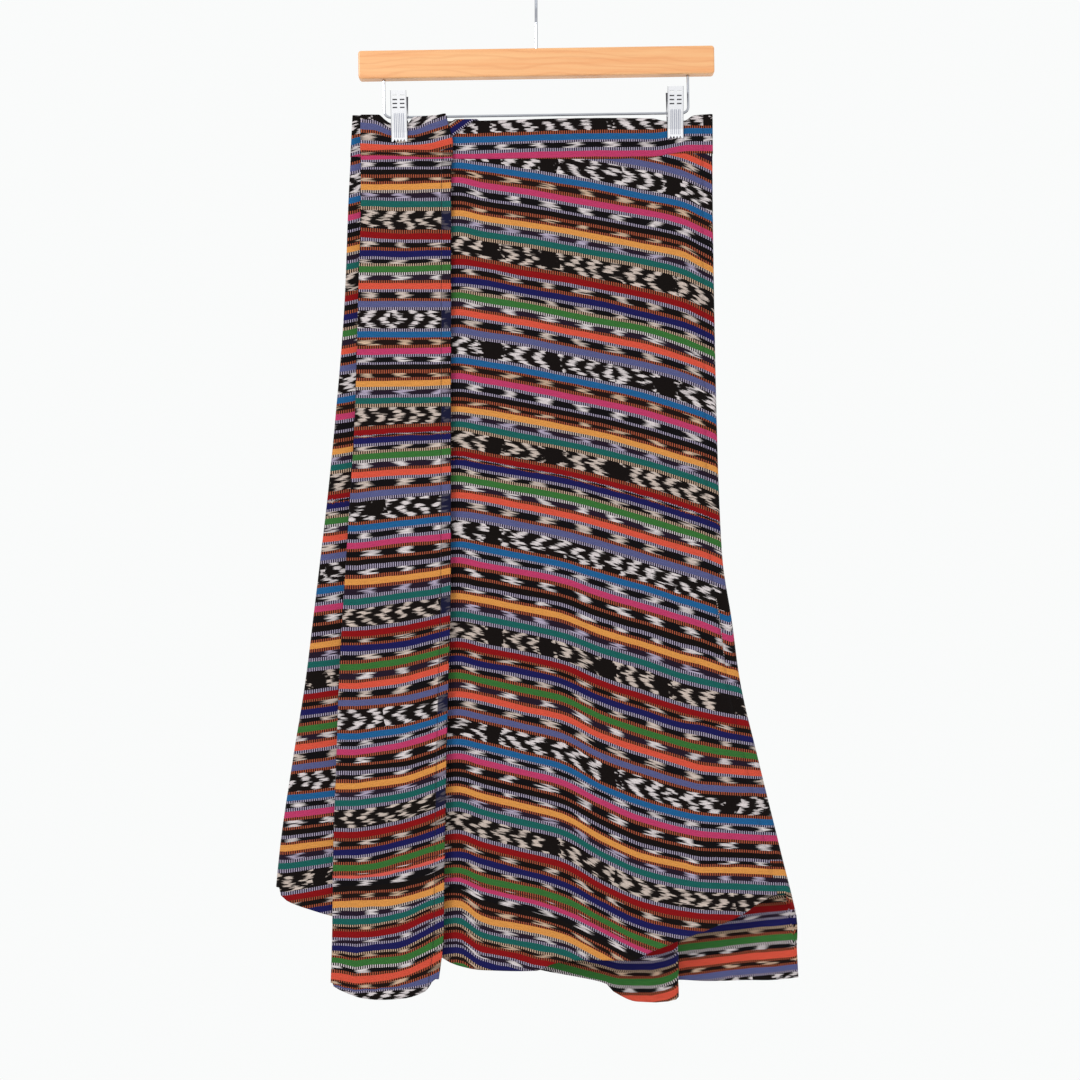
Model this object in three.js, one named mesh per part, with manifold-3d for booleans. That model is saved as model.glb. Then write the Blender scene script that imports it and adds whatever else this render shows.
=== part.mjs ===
// A striped wrap skirt hanging flat from a wooden clip hanger.
// Millimetres, +Z up, the skirt's front faces -Y and +X is to the right as the front is seen.
// The origin is the inside top of the hook, where the hanger rests on a rail.
import * as THREE from 'three';
import { mergeVertices } from 'three/addons/utils/BufferGeometryUtils.js';
import Module from 'manifold-3d';

const wasm = await Module();
wasm.setup();

// ---------------------------------------------------------------- sizes

const SEAM_GAP = 0.3; // between sewn pieces and between layers
const PANEL_THICKNESS = 1.2;
const BAND_THICKNESS = 1.4; // the bands are folded double
const LAYER_PITCH = BAND_THICKNESS + SEAM_GAP;

const WAIST_Z = -155; // top edge of the cloth
const CLIPPED_Z = -186; // above this the clips press the layers flat
const LOWEST_Z = -1031;
const SIDE_SEAM_INSET = 8; // side seams lie this far from the side folds

// The bar hangs a little askew on its hook, its left end lower, with all that it carries.
const BAR_TILT = THREE.MathUtils.degToRad(0.87);

const BAR = { length: 350, height: 27.6, depth: 13, topZ: -88, cornerRadius: 3, edgeRadius: 1.6 };
const HOOK = { wireRadius: 1.5, crookRadius: 21, stemTopZ: -66, seatDepth: 18, tipAngle: -32 };
const CLIP_WIRE = { radius: 1.3, left: -150.5, right: 149.1, z: -152.6, bendRadius: 6, seatDepth: 14 };
const BORE_CLEARANCE = 0.3;
const HOOK_BORE_CLEARANCE = 0.5;

const CLIP = {
  width: 15.7,
  sheet: 0.9,
  above: 23.3, // from the wire up to the top of the handles
  below: 25.5, // from the wire down to the tips of the teeth
  handleY: 11.5, // half the width over the open handles
  teeth: 5,
  toothDepth: 2.6,
  louvreRows: 4,
  louvre: { width: 4.6, height: 1.3, pitch: 3.75, fromCentre: 3.6, firstBelowTop: 5 },
  rib: { count: 3, pitch: 3.6, width: 1.2, height: 0.5 },
  springRadius: 3.4,
  springLength: 9.4,
};
const CLIP_SITES = [
  { side: 'left', x: -135.6, layersInFront: 2 }, // the flap and its turned-under part
  { side: 'right', x: 135.9, layersInFront: 0 },
];
const CLIP_SHIFT = Math.sin(BAR_TILT) * (BAR.topZ - CLIP_WIRE.z); // sideways, from the tilt

// Side folds of the skirt and edges of the flap at each height.
const OUTLINE = rows(['z', 'left', 'right', 'flapFold', 'flapEdge'], [
  [-150, -180.3, 173.4, -172.2, -83.4],
  [-236, -184.7, 173.9, -172.2, -83.4],
  [-335, -188.5, 175.3, -174.6, -83.4],
  [-458, -198.3, 177.9, -178.0, -83.4],
  [-532, -205.7, 180.3, -182.4, -83.4],
  [-591, -212.6, 183.6, -186.0, -83.4],
  [-650, -219.7, 192.6, -189.6, -84.0],
  [-709, -227.0, 200.6, -192.6, -85.6],
  [-788, -239.6, 218.8, -195.0, -87.6],
  [-877, -252.5, 240.6, -197.6, -89.0],
  [-953, -259.0, 258.6, -198.4, -90.0],
  [-1030, -262.0, 270.0, -200.6, -99.0],
]);

// Lower edges across the width, at the height of the cloth there.
const FRONT_HEM = rows(['x', 'z'], [
  [-257.5, -911], [-246, -925], [-221, -934], [-152, -951], [-95, -978], [-79, -986], [-52, -990.5],
  [1, -990.5], [18, -984], [44, -982], [91, -982], [114, -972], [139, -963], [172, -952],
  [200, -940.5], [220, -927], [248, -916],
]);
// The back hem follows the flat cloth, so its x is taken before the pleat is laid in.
const BACK_HEM = rows(['x', 'z'], [
  [-257.5, -913], [-231, -927], [-192, -944], [-133, -965], [-34, -991], [5, -999], [46, -1007],
  [69, -1013], [78, -1022], [101, -1031], [118, -1031], [125, -1027], [132, -1018], [139, -1010],
  [169, -1011], [224, -1009], [262, -1004],
]);
const FLAP_HEM = rows(['x', 'z'], [
  [-201, -999], [-199, -1003], [-184, -1011], [-168, -1016.5], [-152, -1018], [-128, -1016.5],
  [-108, -1010], [-99, -998],
]);

// Top edge and band seam across the width: the cloth dips under the clips.
const BODY_TOP = rows(['x', 'z'], [
  [-181, -152.8], [-167, -154], [-152, -159.5], [-142, -162], [-120, -161], [-83, -159.4],
  [-59, -159.2], [25, -157], [65, -156.4], [114, -156.2], [127, -158.6], [146, -158.4],
  [155, -153.4], [172, -151.8],
]);
const BODY_SEAM = rows(['x', 'z'], [
  [-181, -193.7], [-83, -196.7], [65, -196.7], [114, -194.7], [136, -190.5], [174, -190.5],
]);
const FLAP_TOP = rows(['x', 'z'], [
  [-172, -153.3], [-155, -153.3], [-149, -158], [-143, -161.6], [-127, -162], [-120, -155.6],
  [-97, -154], [-90, -152.8], [-83.4, -155.2],
]);
const FLAP_SEAM = rows(['x', 'z'], [[-172, -189.8], [-83, -188.8]]);

// Soft flutes that grow to the hem: where across the width (0 left, 1 right), how wide, how deep.
const FRONT_FLUTES = rows(['at', 'width', 'depth'], [
  [0.12, 0.05, 3.5], [0.30, 0.05, -3], [0.46, 0.06, 4.5], [0.60, 0.05, -4], [0.73, 0.05, 4.5],
  [0.87, 0.05, -3],
]);
const BACK_FLUTES = rows(['at', 'width', 'depth'], [
  [0.10, 0.05, 4], [0.24, 0.05, -3.5], [0.38, 0.06, 5], [0.52, 0.05, -4], [0.66, 0.05, 4],
  [0.90, 0.04, 3],
]);

// How far the front and the back each stand out between the side folds, with HEM_BELLY more at the hem
const WAIST_BELLY = 3.4;
const HEM_BELLY = 9;

// One flat pleat near the back hem: half its width in flat cloth, how far it laps, how deep it steps.
const BACK_PLEAT = { x: 132, halfWidth: 14, lap: 16, step: 9, startZ: -780, fullZ: -1000 };

const MATERIALS = {
  cloth: new THREE.MeshStandardMaterial({ color: 0x5b3a3c, roughness: 0.9, metalness: 0 }),
  backCloth: new THREE.MeshStandardMaterial({ color: 0x2d4763, roughness: 0.9, metalness: 0 }),
  flapCloth: new THREE.MeshStandardMaterial({ color: 0x8a5a2b, roughness: 0.9, metalness: 0 }),
  bandCloth: new THREE.MeshStandardMaterial({ color: 0xb02a6a, roughness: 0.9, metalness: 0 }),
  wood: new THREE.MeshStandardMaterial({ color: 0xeeb47a, roughness: 0.5, metalness: 0 }),
  chrome: new THREE.MeshStandardMaterial({ color: 0xd5d7da, roughness: 0.2, metalness: 1 }),
};

// ---------------------------------------------------------------- small helpers

function rows(columns, values) {
  return values.map((row) => Object.fromEntries(columns.map((name, i) => [name, row[i]])));
}

function clamp01(value) {
  return THREE.MathUtils.clamp(value, 0, 1);
}

function smooth(from, to, value) {
  const t = clamp01((value - from) / (to - from));
  return t * t * (3 - 2 * t);
}

// A smooth curve without overshoot through the rows of a table.
function curve(table, input, output) {
  const points = table.map((row) => [row[input], row[output]]).sort((a, b) => a[0] - b[0]);
  const slope = points.slice(1).map((p, i) => (p[1] - points[i][1]) / (p[0] - points[i][0]));
  const tangent = points.map((_, i) => {
    if (i === 0) return slope[0];
    if (i === points.length - 1) return slope[i - 1];
    const before = slope[i - 1];
    const after = slope[i];
    return before * after <= 0 ? 0 : (2 * before * after) / (before + after);
  });
  return (value) => {
    if (value <= points[0][0]) return points[0][1];
    const last = points.length - 1;
    if (value >= points[last][0]) return points[last][1];
    const i = points.findIndex((p) => p[0] > value) - 1;
    const span = points[i + 1][0] - points[i][0];
    const t = (value - points[i][0]) / span;
    const u = 1 - t;
    return u * u * (1 + 2 * t) * points[i][1] + t * t * (3 - 2 * t) * points[i + 1][1]
      + span * t * u * (u * tangent[i] - t * tangent[i + 1]);
  };
}

function spread(count, from, to) {
  return Array.from({ length: count }, (_, i) => from + ((to - from) * i) / (count - 1));
}

function mesh(name, geometry, material) {
  const piece = new THREE.Mesh(geometry, material);
  piece.name = name;
  return piece;
}

function solidOf(geometry) {
  const bare = geometry.clone();
  bare.deleteAttribute('normal');
  bare.deleteAttribute('uv');
  const merged = mergeVertices(bare, 1e-4);
  return new wasm.Manifold(new wasm.Mesh({
    numProp: 3,
    vertProperties: new Float32Array(merged.attributes.position.array),
    triVerts: new Uint32Array(merged.index.array),
  }));
}

function geometryOf(solid) {
  const { vertProperties, triVerts, numProp } = solid.getMesh();
  const positions = [];
  for (let i = 0; i < vertProperties.length; i += numProp) {
    positions.push(vertProperties[i], vertProperties[i + 1], vertProperties[i + 2]);
  }
  const geometry = new THREE.BufferGeometry();
  geometry.setAttribute('position', new THREE.Float32BufferAttribute(positions, 3));
  geometry.setIndex(Array.from(triVerts));
  geometry.computeVertexNormals();
  return geometry;
}

// ---------------------------------------------------------------- cloth walls

// A closed wall round a grid of mid-surface points, grid[column][row]. The wall's outer side is
// on the left of the walk from column to column when the rows run down.
function wall(grid, thickness) {
  const columns = grid.length;
  const lines = grid[0].length;
  const normal = (i, j) => {
    const along = grid[Math.min(i + 1, columns - 1)][j].clone().sub(grid[Math.max(i - 1, 0)][j]);
    const down = grid[i][Math.min(j + 1, lines - 1)].clone().sub(grid[i][Math.max(j - 1, 0)]);
    return along.cross(down).normalize();
  };
  const positions = [];
  for (const side of [1, -1]) {
    for (let i = 0; i < columns; i += 1) {
      for (let j = 0; j < lines; j += 1) {
        const p = grid[i][j].clone().addScaledVector(normal(i, j), (side * thickness) / 2);
        positions.push(p.x, p.y, p.z);
      }
    }
  }
  const id = (side, i, j) => side * columns * lines + i * lines + j;
  const index = [];
  const quad = (a, b, c, d) => index.push(a, b, c, a, c, d);
  for (let i = 0; i < columns - 1; i += 1) {
    for (let j = 0; j < lines - 1; j += 1) {
      quad(id(0, i, j), id(0, i + 1, j), id(0, i + 1, j + 1), id(0, i, j + 1));
      quad(id(1, i, j), id(1, i, j + 1), id(1, i + 1, j + 1), id(1, i + 1, j));
    }
  }
  for (let i = 0; i < columns - 1; i += 1) {
    quad(id(0, i, 0), id(1, i, 0), id(1, i + 1, 0), id(0, i + 1, 0));
    quad(id(0, i, lines - 1), id(0, i + 1, lines - 1), id(1, i + 1, lines - 1), id(1, i, lines - 1));
  }
  for (let j = 0; j < lines - 1; j += 1) {
    quad(id(0, 0, j), id(0, 0, j + 1), id(1, 0, j + 1), id(1, 0, j));
    quad(id(0, columns - 1, j), id(1, columns - 1, j), id(1, columns - 1, j + 1),
      id(0, columns - 1, j + 1));
  }
  const geometry = new THREE.BufferGeometry();
  geometry.setAttribute('position', new THREE.Float32BufferAttribute(positions, 3));
  geometry.setIndex(index);
  geometry.computeVertexNormals();
  return geometry;
}

const leftFold = curve(OUTLINE, 'z', 'left');
const rightFold = curve(OUTLINE, 'z', 'right');
const flapFold = curve(OUTLINE, 'z', 'flapFold');
const flapEdge = curve(OUTLINE, 'z', 'flapEdge');
const frontHem = curve(FRONT_HEM, 'x', 'z');
const backHem = curve(BACK_HEM, 'x', 'z');
const flapHem = curve(FLAP_HEM, 'x', 'z');
const bodyTop = curve(BODY_TOP, 'x', 'z');
const bodySeam = curve(BODY_SEAM, 'x', 'z');
const flapTop = curve(FLAP_TOP, 'x', 'z');
const flapSeam = curve(FLAP_SEAM, 'x', 'z');

// 0 down to the clips' teeth, 1 at the lowest hem
function fall(z) {
  return clamp01((CLIPPED_Z - z) / (CLIPPED_Z - LOWEST_Z));
}

// Radius of the two side folds, measured to the middle of the wall
function foldRadius(z) {
  return LAYER_PITCH / 2 + 6 * fall(z);
}

// 1 where a clip presses the cloth flat, 0 away from it
function grip(x, z) {
  const beside = Math.min(...CLIP_SITES.map((site) => Math.abs(x - site.x - CLIP_SHIFT)));
  return smooth(52, 11, beside) * smooth(-330, CLIPPED_Z, z);
}

// How far the body stands out from its middle plane, at the middle of the wall
function bodyDepth(x, z, flutes) {
  const radius = foldRadius(z);
  const left = leftFold(z) + radius;
  const right = rightFold(z) - radius;
  const across = clamp01((x - left) / (right - left));
  const belly = (WAIST_BELLY + HEM_BELLY * fall(z)) * Math.sin(Math.PI * across);
  const growth = fall(z) ** 1.5;
  const wave = flutes.reduce(
    (sum, flute) => sum + flute.depth * Math.exp(-(((across - flute.at) / flute.width) ** 2)),
    0,
  );
  return radius + belly * (1 - grip(x, z)) + wave * growth * smooth(0, 0.05, across * (1 - across));
}

const frontDepth = (x, z) => bodyDepth(x, z, FRONT_FLUTES);
const backDepth = (x, z) => bodyDepth(x, z, BACK_FLUTES);

// Each stretch of a section gives a point from a share of the stretch and a height.
function frontPoint(x, z) {
  return new THREE.Vector3(x, -frontDepth(x, z), z);
}

function backPoint(x, z) {
  const pleat = smooth(BACK_PLEAT.startZ, BACK_PLEAT.fullZ, z);
  const { x: middle, halfWidth, lap, step } = BACK_PLEAT;
  const share = clamp01((middle + halfWidth - x) / (2 * halfWidth));
  const shift = -lap * pleat * Math.sin(2 * Math.PI * share);
  const fade = smooth(-60, 90, x) * smooth(260, 190, x);
  const side = 0.5 - smooth(0, 1, share);
  return new THREE.Vector3(x + shift, backDepth(x, z) + step * pleat * side * fade, z);
}

// Half circle round a side fold: turn 0 is the front end, 1 the back end
function foldPoint(foldX, side, radius, turn, z) {
  const angle = Math.PI * turn;
  const x = foldX - side * radius * (1 - Math.sin(angle));
  return new THREE.Vector3(x, -radius * Math.cos(angle), z);
}

const FOLD_TURNS = [0, 0.25, 0.5, 0.75];
// The back is cut longer than the front, so the hem runs down along the right side fold.
const RIGHT_FOLD_HEMS = [-924, -932, -942, -962];
const SEAM_HALF = SEAM_GAP / 2;
const PANEL_LINES = 19; // points down each column
const BAND_LINES = 4;

// A piece is a row of columns from side to side. xAt gives the x at which a column reads its upper
// edge and its hem, and place gives its point at each height.
function frontColumns(count) {
  const columns = [];
  for (const inset of [SIDE_SEAM_INSET - SEAM_HALF, SIDE_SEAM_INSET / 2]) {
    columns.push({
      xAt: leftFold,
      hem: backHem,
      place: (z) => backPoint(leftFold(z) + foldRadius(z) + inset, z),
    });
  }
  for (const turn of [...FOLD_TURNS].reverse()) {
    columns.push({
      xAt: leftFold,
      hem: frontHem,
      place: (z) => foldPoint(leftFold(z), -1, foldRadius(z), turn, z),
    });
  }
  for (const share of spread(count, 0, 1).slice(1)) {
    const xAt = (z) => {
      const left = leftFold(z) + foldRadius(z);
      const right = rightFold(z) - foldRadius(z) - SIDE_SEAM_INSET - SEAM_HALF;
      return THREE.MathUtils.lerp(left, right, share);
    };
    columns.push({ xAt, hem: frontHem, place: (z) => frontPoint(xAt(z), z) });
  }
  return columns;
}

function backColumns(count) {
  const columns = [];
  const seamX = (z) => rightFold(z) - foldRadius(z) - SIDE_SEAM_INSET + SEAM_HALF;
  columns.push({ xAt: seamX, hem: frontHem, place: (z) => frontPoint(seamX(z), z) });
  FOLD_TURNS.forEach((turn, i) => columns.push({
    xAt: rightFold,
    hem: () => RIGHT_FOLD_HEMS[i],
    place: (z) => foldPoint(rightFold(z), 1, foldRadius(z), turn, z),
  }));
  // closer together through the pleat
  const shares = [
    ...spread(7, 0, 0.2), ...spread(12, 0.2, 0.32).slice(1), ...spread(count, 0.32, 1).slice(1),
  ];
  for (const share of shares) {
    const xAt = (z) => {
      const left = leftFold(z) + foldRadius(z) + SIDE_SEAM_INSET + SEAM_HALF;
      const right = rightFold(z) - foldRadius(z);
      return THREE.MathUtils.lerp(right, left, share);
    };
    columns.push({ xAt, hem: backHem, place: (z) => backPoint(xAt(z), z) });
  }
  return columns;
}

// The turned-under part of the flap stops this far below the flap's top edge.
const UNDER_TUCK = 3;

// The flap lies on the front: its face, the fold at its left edge and the part turned under
const turnedUnder = (z) => LAYER_PITCH + 1.5 * fall(z);
const flapRadius = (z) => LAYER_PITCH / 2 + 2.6 * fall(z);

function flapColumns(faceCount, underCount) {
  const columns = [];
  const lay = (x, z, out) => new THREE.Vector3(x, -frontDepth(x, z) - out, z);
  for (const share of spread(faceCount, 0, 1)) {
    const xAt = (z) => THREE.MathUtils.lerp(flapEdge(z), flapFold(z) + flapRadius(z), share);
    columns.push({
      xAt,
      hem: flapHem,
      place: (z) => lay(xAt(z), z, turnedUnder(z) + 2 * flapRadius(z)),
    });
  }
  for (const turn of [0.25, 0.5, 0.75]) {
    columns.push({
      xAt: flapFold,
      hem: flapHem,
      place: (z) => {
        const radius = flapRadius(z);
        const x = flapFold(z) + radius * (1 - Math.sin(Math.PI * turn));
        return lay(x, z, turnedUnder(z) + radius * (1 + Math.cos(Math.PI * turn)));
      },
    });
  }
  for (const share of spread(underCount, 0, 1)) {
    const xAt = (z) => THREE.MathUtils.lerp(flapFold(z) + flapRadius(z), flapEdge(z) - 14, share);
    columns.push({
      xAt,
      tuck: UNDER_TUCK * smooth(0, 0.3, share),
      hem: (x) => flapHem(x) + 9 * share,
      place: (z) => lay(xAt(z), z, turnedUnder(z)),
    });
  }
  return columns;
}

// The height at which a slanting column meets an edge that runs across the width
function meet(column, edge, guess) {
  let z = guess;
  for (let i = 0; i < 8; i += 1) z = edge(column.xAt(z));
  return z;
}

function panel(name, columns, seam, material) {
  const grid = columns.map((column) => {
    const top = meet(column, seam, WAIST_Z) - SEAM_HALF;
    const low = meet(column, column.hem, LOWEST_Z);
    return spread(PANEL_LINES, top, low).map(column.place);
  });
  return mesh(name, wall(grid, PANEL_THICKNESS), material);
}

function band(name, columns, edge, seam, material) {
  const grid = columns.map((column) => {
    const top = meet(column, edge, WAIST_Z) - (column.tuck ?? 0);
    const low = meet(column, seam, WAIST_Z) + SEAM_HALF;
    return spread(BAND_LINES, top, low).map(column.place);
  });
  return mesh(name, wall(grid, BAND_THICKNESS), material);
}

function skirtPieces() {
  const front = frontColumns(30);
  const back = backColumns(20);
  const flap = flapColumns(9, 5);
  const { cloth, backCloth, flapCloth, bandCloth } = MATERIALS;
  return [
    panel('front_panel', front, bodySeam, cloth),
    panel('back_panel', back, bodySeam, backCloth),
    panel('overlap_panel', flap, flapSeam, flapCloth),
    band('waistband_front', front, bodyTop, bodySeam, bandCloth),
    band('waistband_back', back, bodyTop, bodySeam, bandCloth),
    band('waistband_overlap', flap, flapTop, flapSeam, flapCloth),
  ];
}

// The tie leaves the flap's band, climbs over the front band's top edge and tucks in behind it.
const TIE = {
  thickness: 1,
  start: { x: -88, z: -171.5 },
  direction: THREE.MathUtils.degToRad(34),
  length: 52,
  width: 11,
  tipWidth: 8,
};

function tie() {
  const radius = BAND_THICKNESS / 2 + SEAM_GAP + TIE.thickness / 2;
  const along = new THREE.Vector2(Math.cos(TIE.direction), Math.sin(TIE.direction));
  const across = new THREE.Vector2(-along.y, along.x);
  // flat is a place on the strap laid out; above the edge it rolls over and runs down behind
  const place = (flatX, flatZ) => {
    const edgeZ = bodyTop(flatX);
    const beyond = flatZ - edgeZ;
    const middle = -frontDepth(flatX, Math.min(flatZ, edgeZ));
    if (beyond <= 0) return new THREE.Vector3(flatX, middle - radius, flatZ);
    const turn = beyond / radius;
    if (turn >= Math.PI) {
      const down = edgeZ - (beyond - Math.PI * radius);
      return new THREE.Vector3(flatX, -frontDepth(flatX, down) + radius, down);
    }
    const y = middle - radius * Math.cos(turn);
    return new THREE.Vector3(flatX, y, edgeZ + radius * Math.sin(turn));
  };
  const grid = spread(27, 0, 1).map((share) => {
    const half = THREE.MathUtils.lerp(TIE.width, TIE.tipWidth, share) / 2;
    return spread(6, half, -half).map((offset) => place(
      TIE.start.x + along.x * TIE.length * share + across.x * offset,
      TIE.start.z + along.y * TIE.length * share + across.y * offset,
    ));
  });
  return mesh('tie', wall(grid, TIE.thickness), MATERIALS.bandCloth);
}

// ---------------------------------------------------------------- hanger

// A path that an extrusion follows station by station, close together only in the bends
class StationPath extends THREE.Curve {
  constructor(stations) {
    super();
    this.stations = stations;
  }

  get steps() {
    return this.stations.length - 1;
  }

  getPoint(t, target = new THREE.Vector3()) {
    const place = clamp01(t) * this.steps;
    const i = Math.min(Math.floor(place), this.steps - 1);
    return target.copy(this.stations[i]).lerp(this.stations[i + 1], place - i);
  }

  getPointAt(u, target) {
    return this.getPoint(u, target);
  }

  getTangentAt(u, target = new THREE.Vector3()) {
    const step = 0.5 / this.steps;
    return target.copy(this.getPoint(u + step)).sub(this.getPoint(u - step)).normalize();
  }
}

function arcStations(centre, radius, fromDegrees, toDegrees, count, plane) {
  return spread(count, fromDegrees, toDegrees).map((degrees) => {
    const angle = THREE.MathUtils.degToRad(degrees);
    const sideways = centre.side + radius * Math.cos(angle);
    const z = centre.z + radius * Math.sin(angle);
    return plane === 'yz' ? new THREE.Vector3(0, sideways, z) : new THREE.Vector3(sideways, 0, z);
  });
}

function rod(name, stations, radius, sides) {
  const section = new THREE.Shape(
    spread(sides + 1, 0, 2 * Math.PI).slice(0, sides)
      .map((angle) => new THREE.Vector2(radius * Math.cos(angle), radius * Math.sin(angle))),
  );
  const path = new StationPath(stations);
  const geometry = new THREE.ExtrudeGeometry(section, {
    steps: path.steps, bevelEnabled: false, extrudePath: path,
  });
  return mesh(name, geometry, MATERIALS.chrome);
}

function hook() {
  const { wireRadius, crookRadius, stemTopZ, seatDepth, tipAngle } = HOOK;
  const centre = { side: 0, z: wireRadius - crookRadius };
  const crook = arcStations(centre, crookRadius, 205, tipAngle, 22, 'yz');
  const stem = [
    new THREE.Vector3(0, 0, BAR.topZ - seatDepth),
    new THREE.Vector3(0, 0, stemTopZ),
  ];
  const bend = new THREE.CubicBezierCurve3(
    stem[1],
    new THREE.Vector3(0, 0, stemTopZ + 14),
    crook[0].clone().add(new THREE.Vector3(0, 6.5, -13)),
    crook[0],
  );
  return rod('hanger_hook', [...stem, ...bend.getPoints(9).slice(1, -1), ...crook], wireRadius, 10);
}

function clipWire() {
  const { radius, left, right, z, bendRadius, seatDepth } = CLIP_WIRE;
  const top = BAR.topZ - BAR.height + seatDepth;
  const corner = z + bendRadius;
  return rod('clip_wire', [
    new THREE.Vector3(left, 0, top),
    ...arcStations({ side: left + bendRadius, z: corner }, bendRadius, 180, 270, 6, 'xz'),
    ...arcStations({ side: right - bendRadius, z: corner }, bendRadius, 270, 360, 6, 'xz'),
    new THREE.Vector3(right, 0, top),
  ], radius, 10);
}

function post(radius, bottom, top, x = 0) {
  const geometry = new THREE.CylinderGeometry(radius, radius, top - bottom, 20);
  geometry.rotateX(Math.PI / 2);
  geometry.translate(x, 0, (top + bottom) / 2);
  return solidOf(geometry);
}

function bar() {
  const { length, height, depth, topZ, cornerRadius, edgeRadius } = BAR;
  const halfX = length / 2 - edgeRadius;
  const halfZ = height / 2 - edgeRadius;
  const r = cornerRadius - edgeRadius;
  const outline = new THREE.Shape();
  outline.moveTo(-halfX + r, -halfZ);
  outline.lineTo(halfX - r, -halfZ);
  outline.absarc(halfX - r, -halfZ + r, r, -Math.PI / 2, 0);
  outline.lineTo(halfX, halfZ - r);
  outline.absarc(halfX - r, halfZ - r, r, 0, Math.PI / 2);
  outline.lineTo(-halfX + r, halfZ);
  outline.absarc(-halfX + r, halfZ - r, r, Math.PI / 2, Math.PI);
  outline.lineTo(-halfX, -halfZ + r);
  outline.absarc(-halfX + r, -halfZ + r, r, Math.PI, 1.5 * Math.PI);
  const geometry = new THREE.ExtrudeGeometry(outline, {
    depth: depth - 2 * edgeRadius,
    bevelSize: edgeRadius,
    bevelThickness: edgeRadius,
    bevelSegments: 3,
    curveSegments: 4,
  });
  geometry.translate(0, 0, -depth / 2 + edgeRadius);
  geometry.rotateX(Math.PI / 2);
  geometry.translate(0, 0, topZ - height / 2);
  const bottom = topZ - height;
  const hookBore = post(HOOK.wireRadius + HOOK_BORE_CLEARANCE, topZ - HOOK.seatDepth - 0.3, topZ + 5);
  const wireTop = bottom + CLIP_WIRE.seatDepth + 0.3;
  const wireBores = [CLIP_WIRE.left, CLIP_WIRE.right].map(
    (x) => post(CLIP_WIRE.radius + BORE_CLEARANCE, bottom - 5, wireTop, x),
  );
  const solid = [hookBore, ...wireBores].reduce((rest, bore) => rest.subtract(bore), solidOf(geometry));
  return mesh('hanger_bar', geometryOf(solid), MATERIALS.wood);
}

// A block whose outline is drawn in the YZ plane and whose width runs along X
function slab(points, width, x = 0) {
  const shape = new THREE.Shape(points.map(([y, z]) => new THREE.Vector2(y, z)));
  const geometry = new THREE.ExtrudeGeometry(shape, { depth: width, bevelEnabled: false });
  // shape x becomes y, shape y becomes z and the extrusion runs along x
  geometry.applyMatrix4(new THREE.Matrix4().set(
    0, 0, 1, x - width / 2,
    1, 0, 0, 0,
    0, 1, 0, 0,
    0, 0, 0, 1,
  ));
  return solidOf(geometry);
}

function box(sizeX, sizeY, sizeZ, x, y, z) {
  const geometry = new THREE.BoxGeometry(sizeX, sizeY, sizeZ);
  geometry.translate(x, y, z);
  return solidOf(geometry);
}

// One jaw of a clip, its wire along X through the origin. The plate lies on the +Y side and the
// two cheeks reach back round the wire.
function jaw(gripY, cheekOffset, isFront) {
  const { width, sheet, above, below, handleY, toothDepth, teeth, louvre, rib } = CLIP;
  const wireY = THREE.MathUtils.lerp(gripY, handleY, 0.5);
  const profile = [
    { y: gripY, z: -below }, { y: gripY + 0.2, z: -below + 9 }, { y: wireY, z: 0 },
    { y: handleY, z: above },
  ];
  const inner = profile.map(({ y, z }) => [y, z]);
  const outer = profile.map(({ y, z }) => [y + sheet, z]).reverse();
  let solid = slab([...inner, ...outer], width);
  const plateY = (z) => {
    const i = z < 0 ? 1 : 2;
    const t = (z - profile[i].z) / (profile[i + 1].z - profile[i].z);
    return THREE.MathUtils.lerp(profile[i].y, profile[i + 1].y, t);
  };

  const eye = CLIP_WIRE.radius + 2.2;
  const cheekInset = width / 2 - sheet / 2 - cheekOffset;
  for (const side of [-1, 1]) {
    const rear = spread(7, -Math.PI / 2, -1.5 * Math.PI)
      .map((angle) => [eye * Math.cos(angle), eye * Math.sin(angle)]);
    const cheek = slab([[plateY(-5) + sheet / 2, -5], [plateY(9) + sheet / 2, 9], ...rear.reverse()],
      sheet, side * cheekInset);
    solid = solid.add(cheek);
  }
  const bore = new THREE.CylinderGeometry(
    CLIP_WIRE.radius + BORE_CLEARANCE, CLIP_WIRE.radius + BORE_CLEARANCE, 2 * width, 16,
  );
  bore.rotateZ(Math.PI / 2);
  solid = solid.subtract(solidOf(bore));

  const pitch = width / teeth;
  for (let i = 1; i < teeth; i += 1) {
    const notch = new THREE.CylinderGeometry(0.46 * pitch, 0.46 * pitch, 4 * handleY, 4);
    notch.scale(1, 1, toothDepth / (0.46 * pitch));
    notch.translate(-width / 2 + pitch * i, 0, -below);
    solid = solid.subtract(solidOf(notch));
  }
  if (isFront) {
    for (let row = 0; row < CLIP.louvreRows; row += 1) {
      const z = above - louvre.firstBelowTop - row * louvre.pitch;
      for (const side of [-1, 1]) {
        const slot = box(louvre.width, 8, louvre.height, side * louvre.fromCentre, plateY(z), z);
        solid = solid.subtract(slot);
      }
    }
    for (let i = 0; i < rib.count; i += 1) {
      const x = (i - (rib.count - 1) / 2) * rib.pitch;
      const low = -below + toothDepth + 1.5;
      const ribShape = [
        [plateY(2) + 0.4, 2], [plateY(2) + sheet + rib.height, 2],
        [plateY(-16.5) + sheet + rib.height, -16.5], [gripY + 0.1 + sheet + rib.height, low],
        [gripY + 0.1 + 0.4, low], [plateY(-16.5) + 0.4, -16.5],
      ];
      solid = solid.add(slab(ribShape.reverse(), rib.width, x));
    }
  }
  return solid;
}

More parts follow.
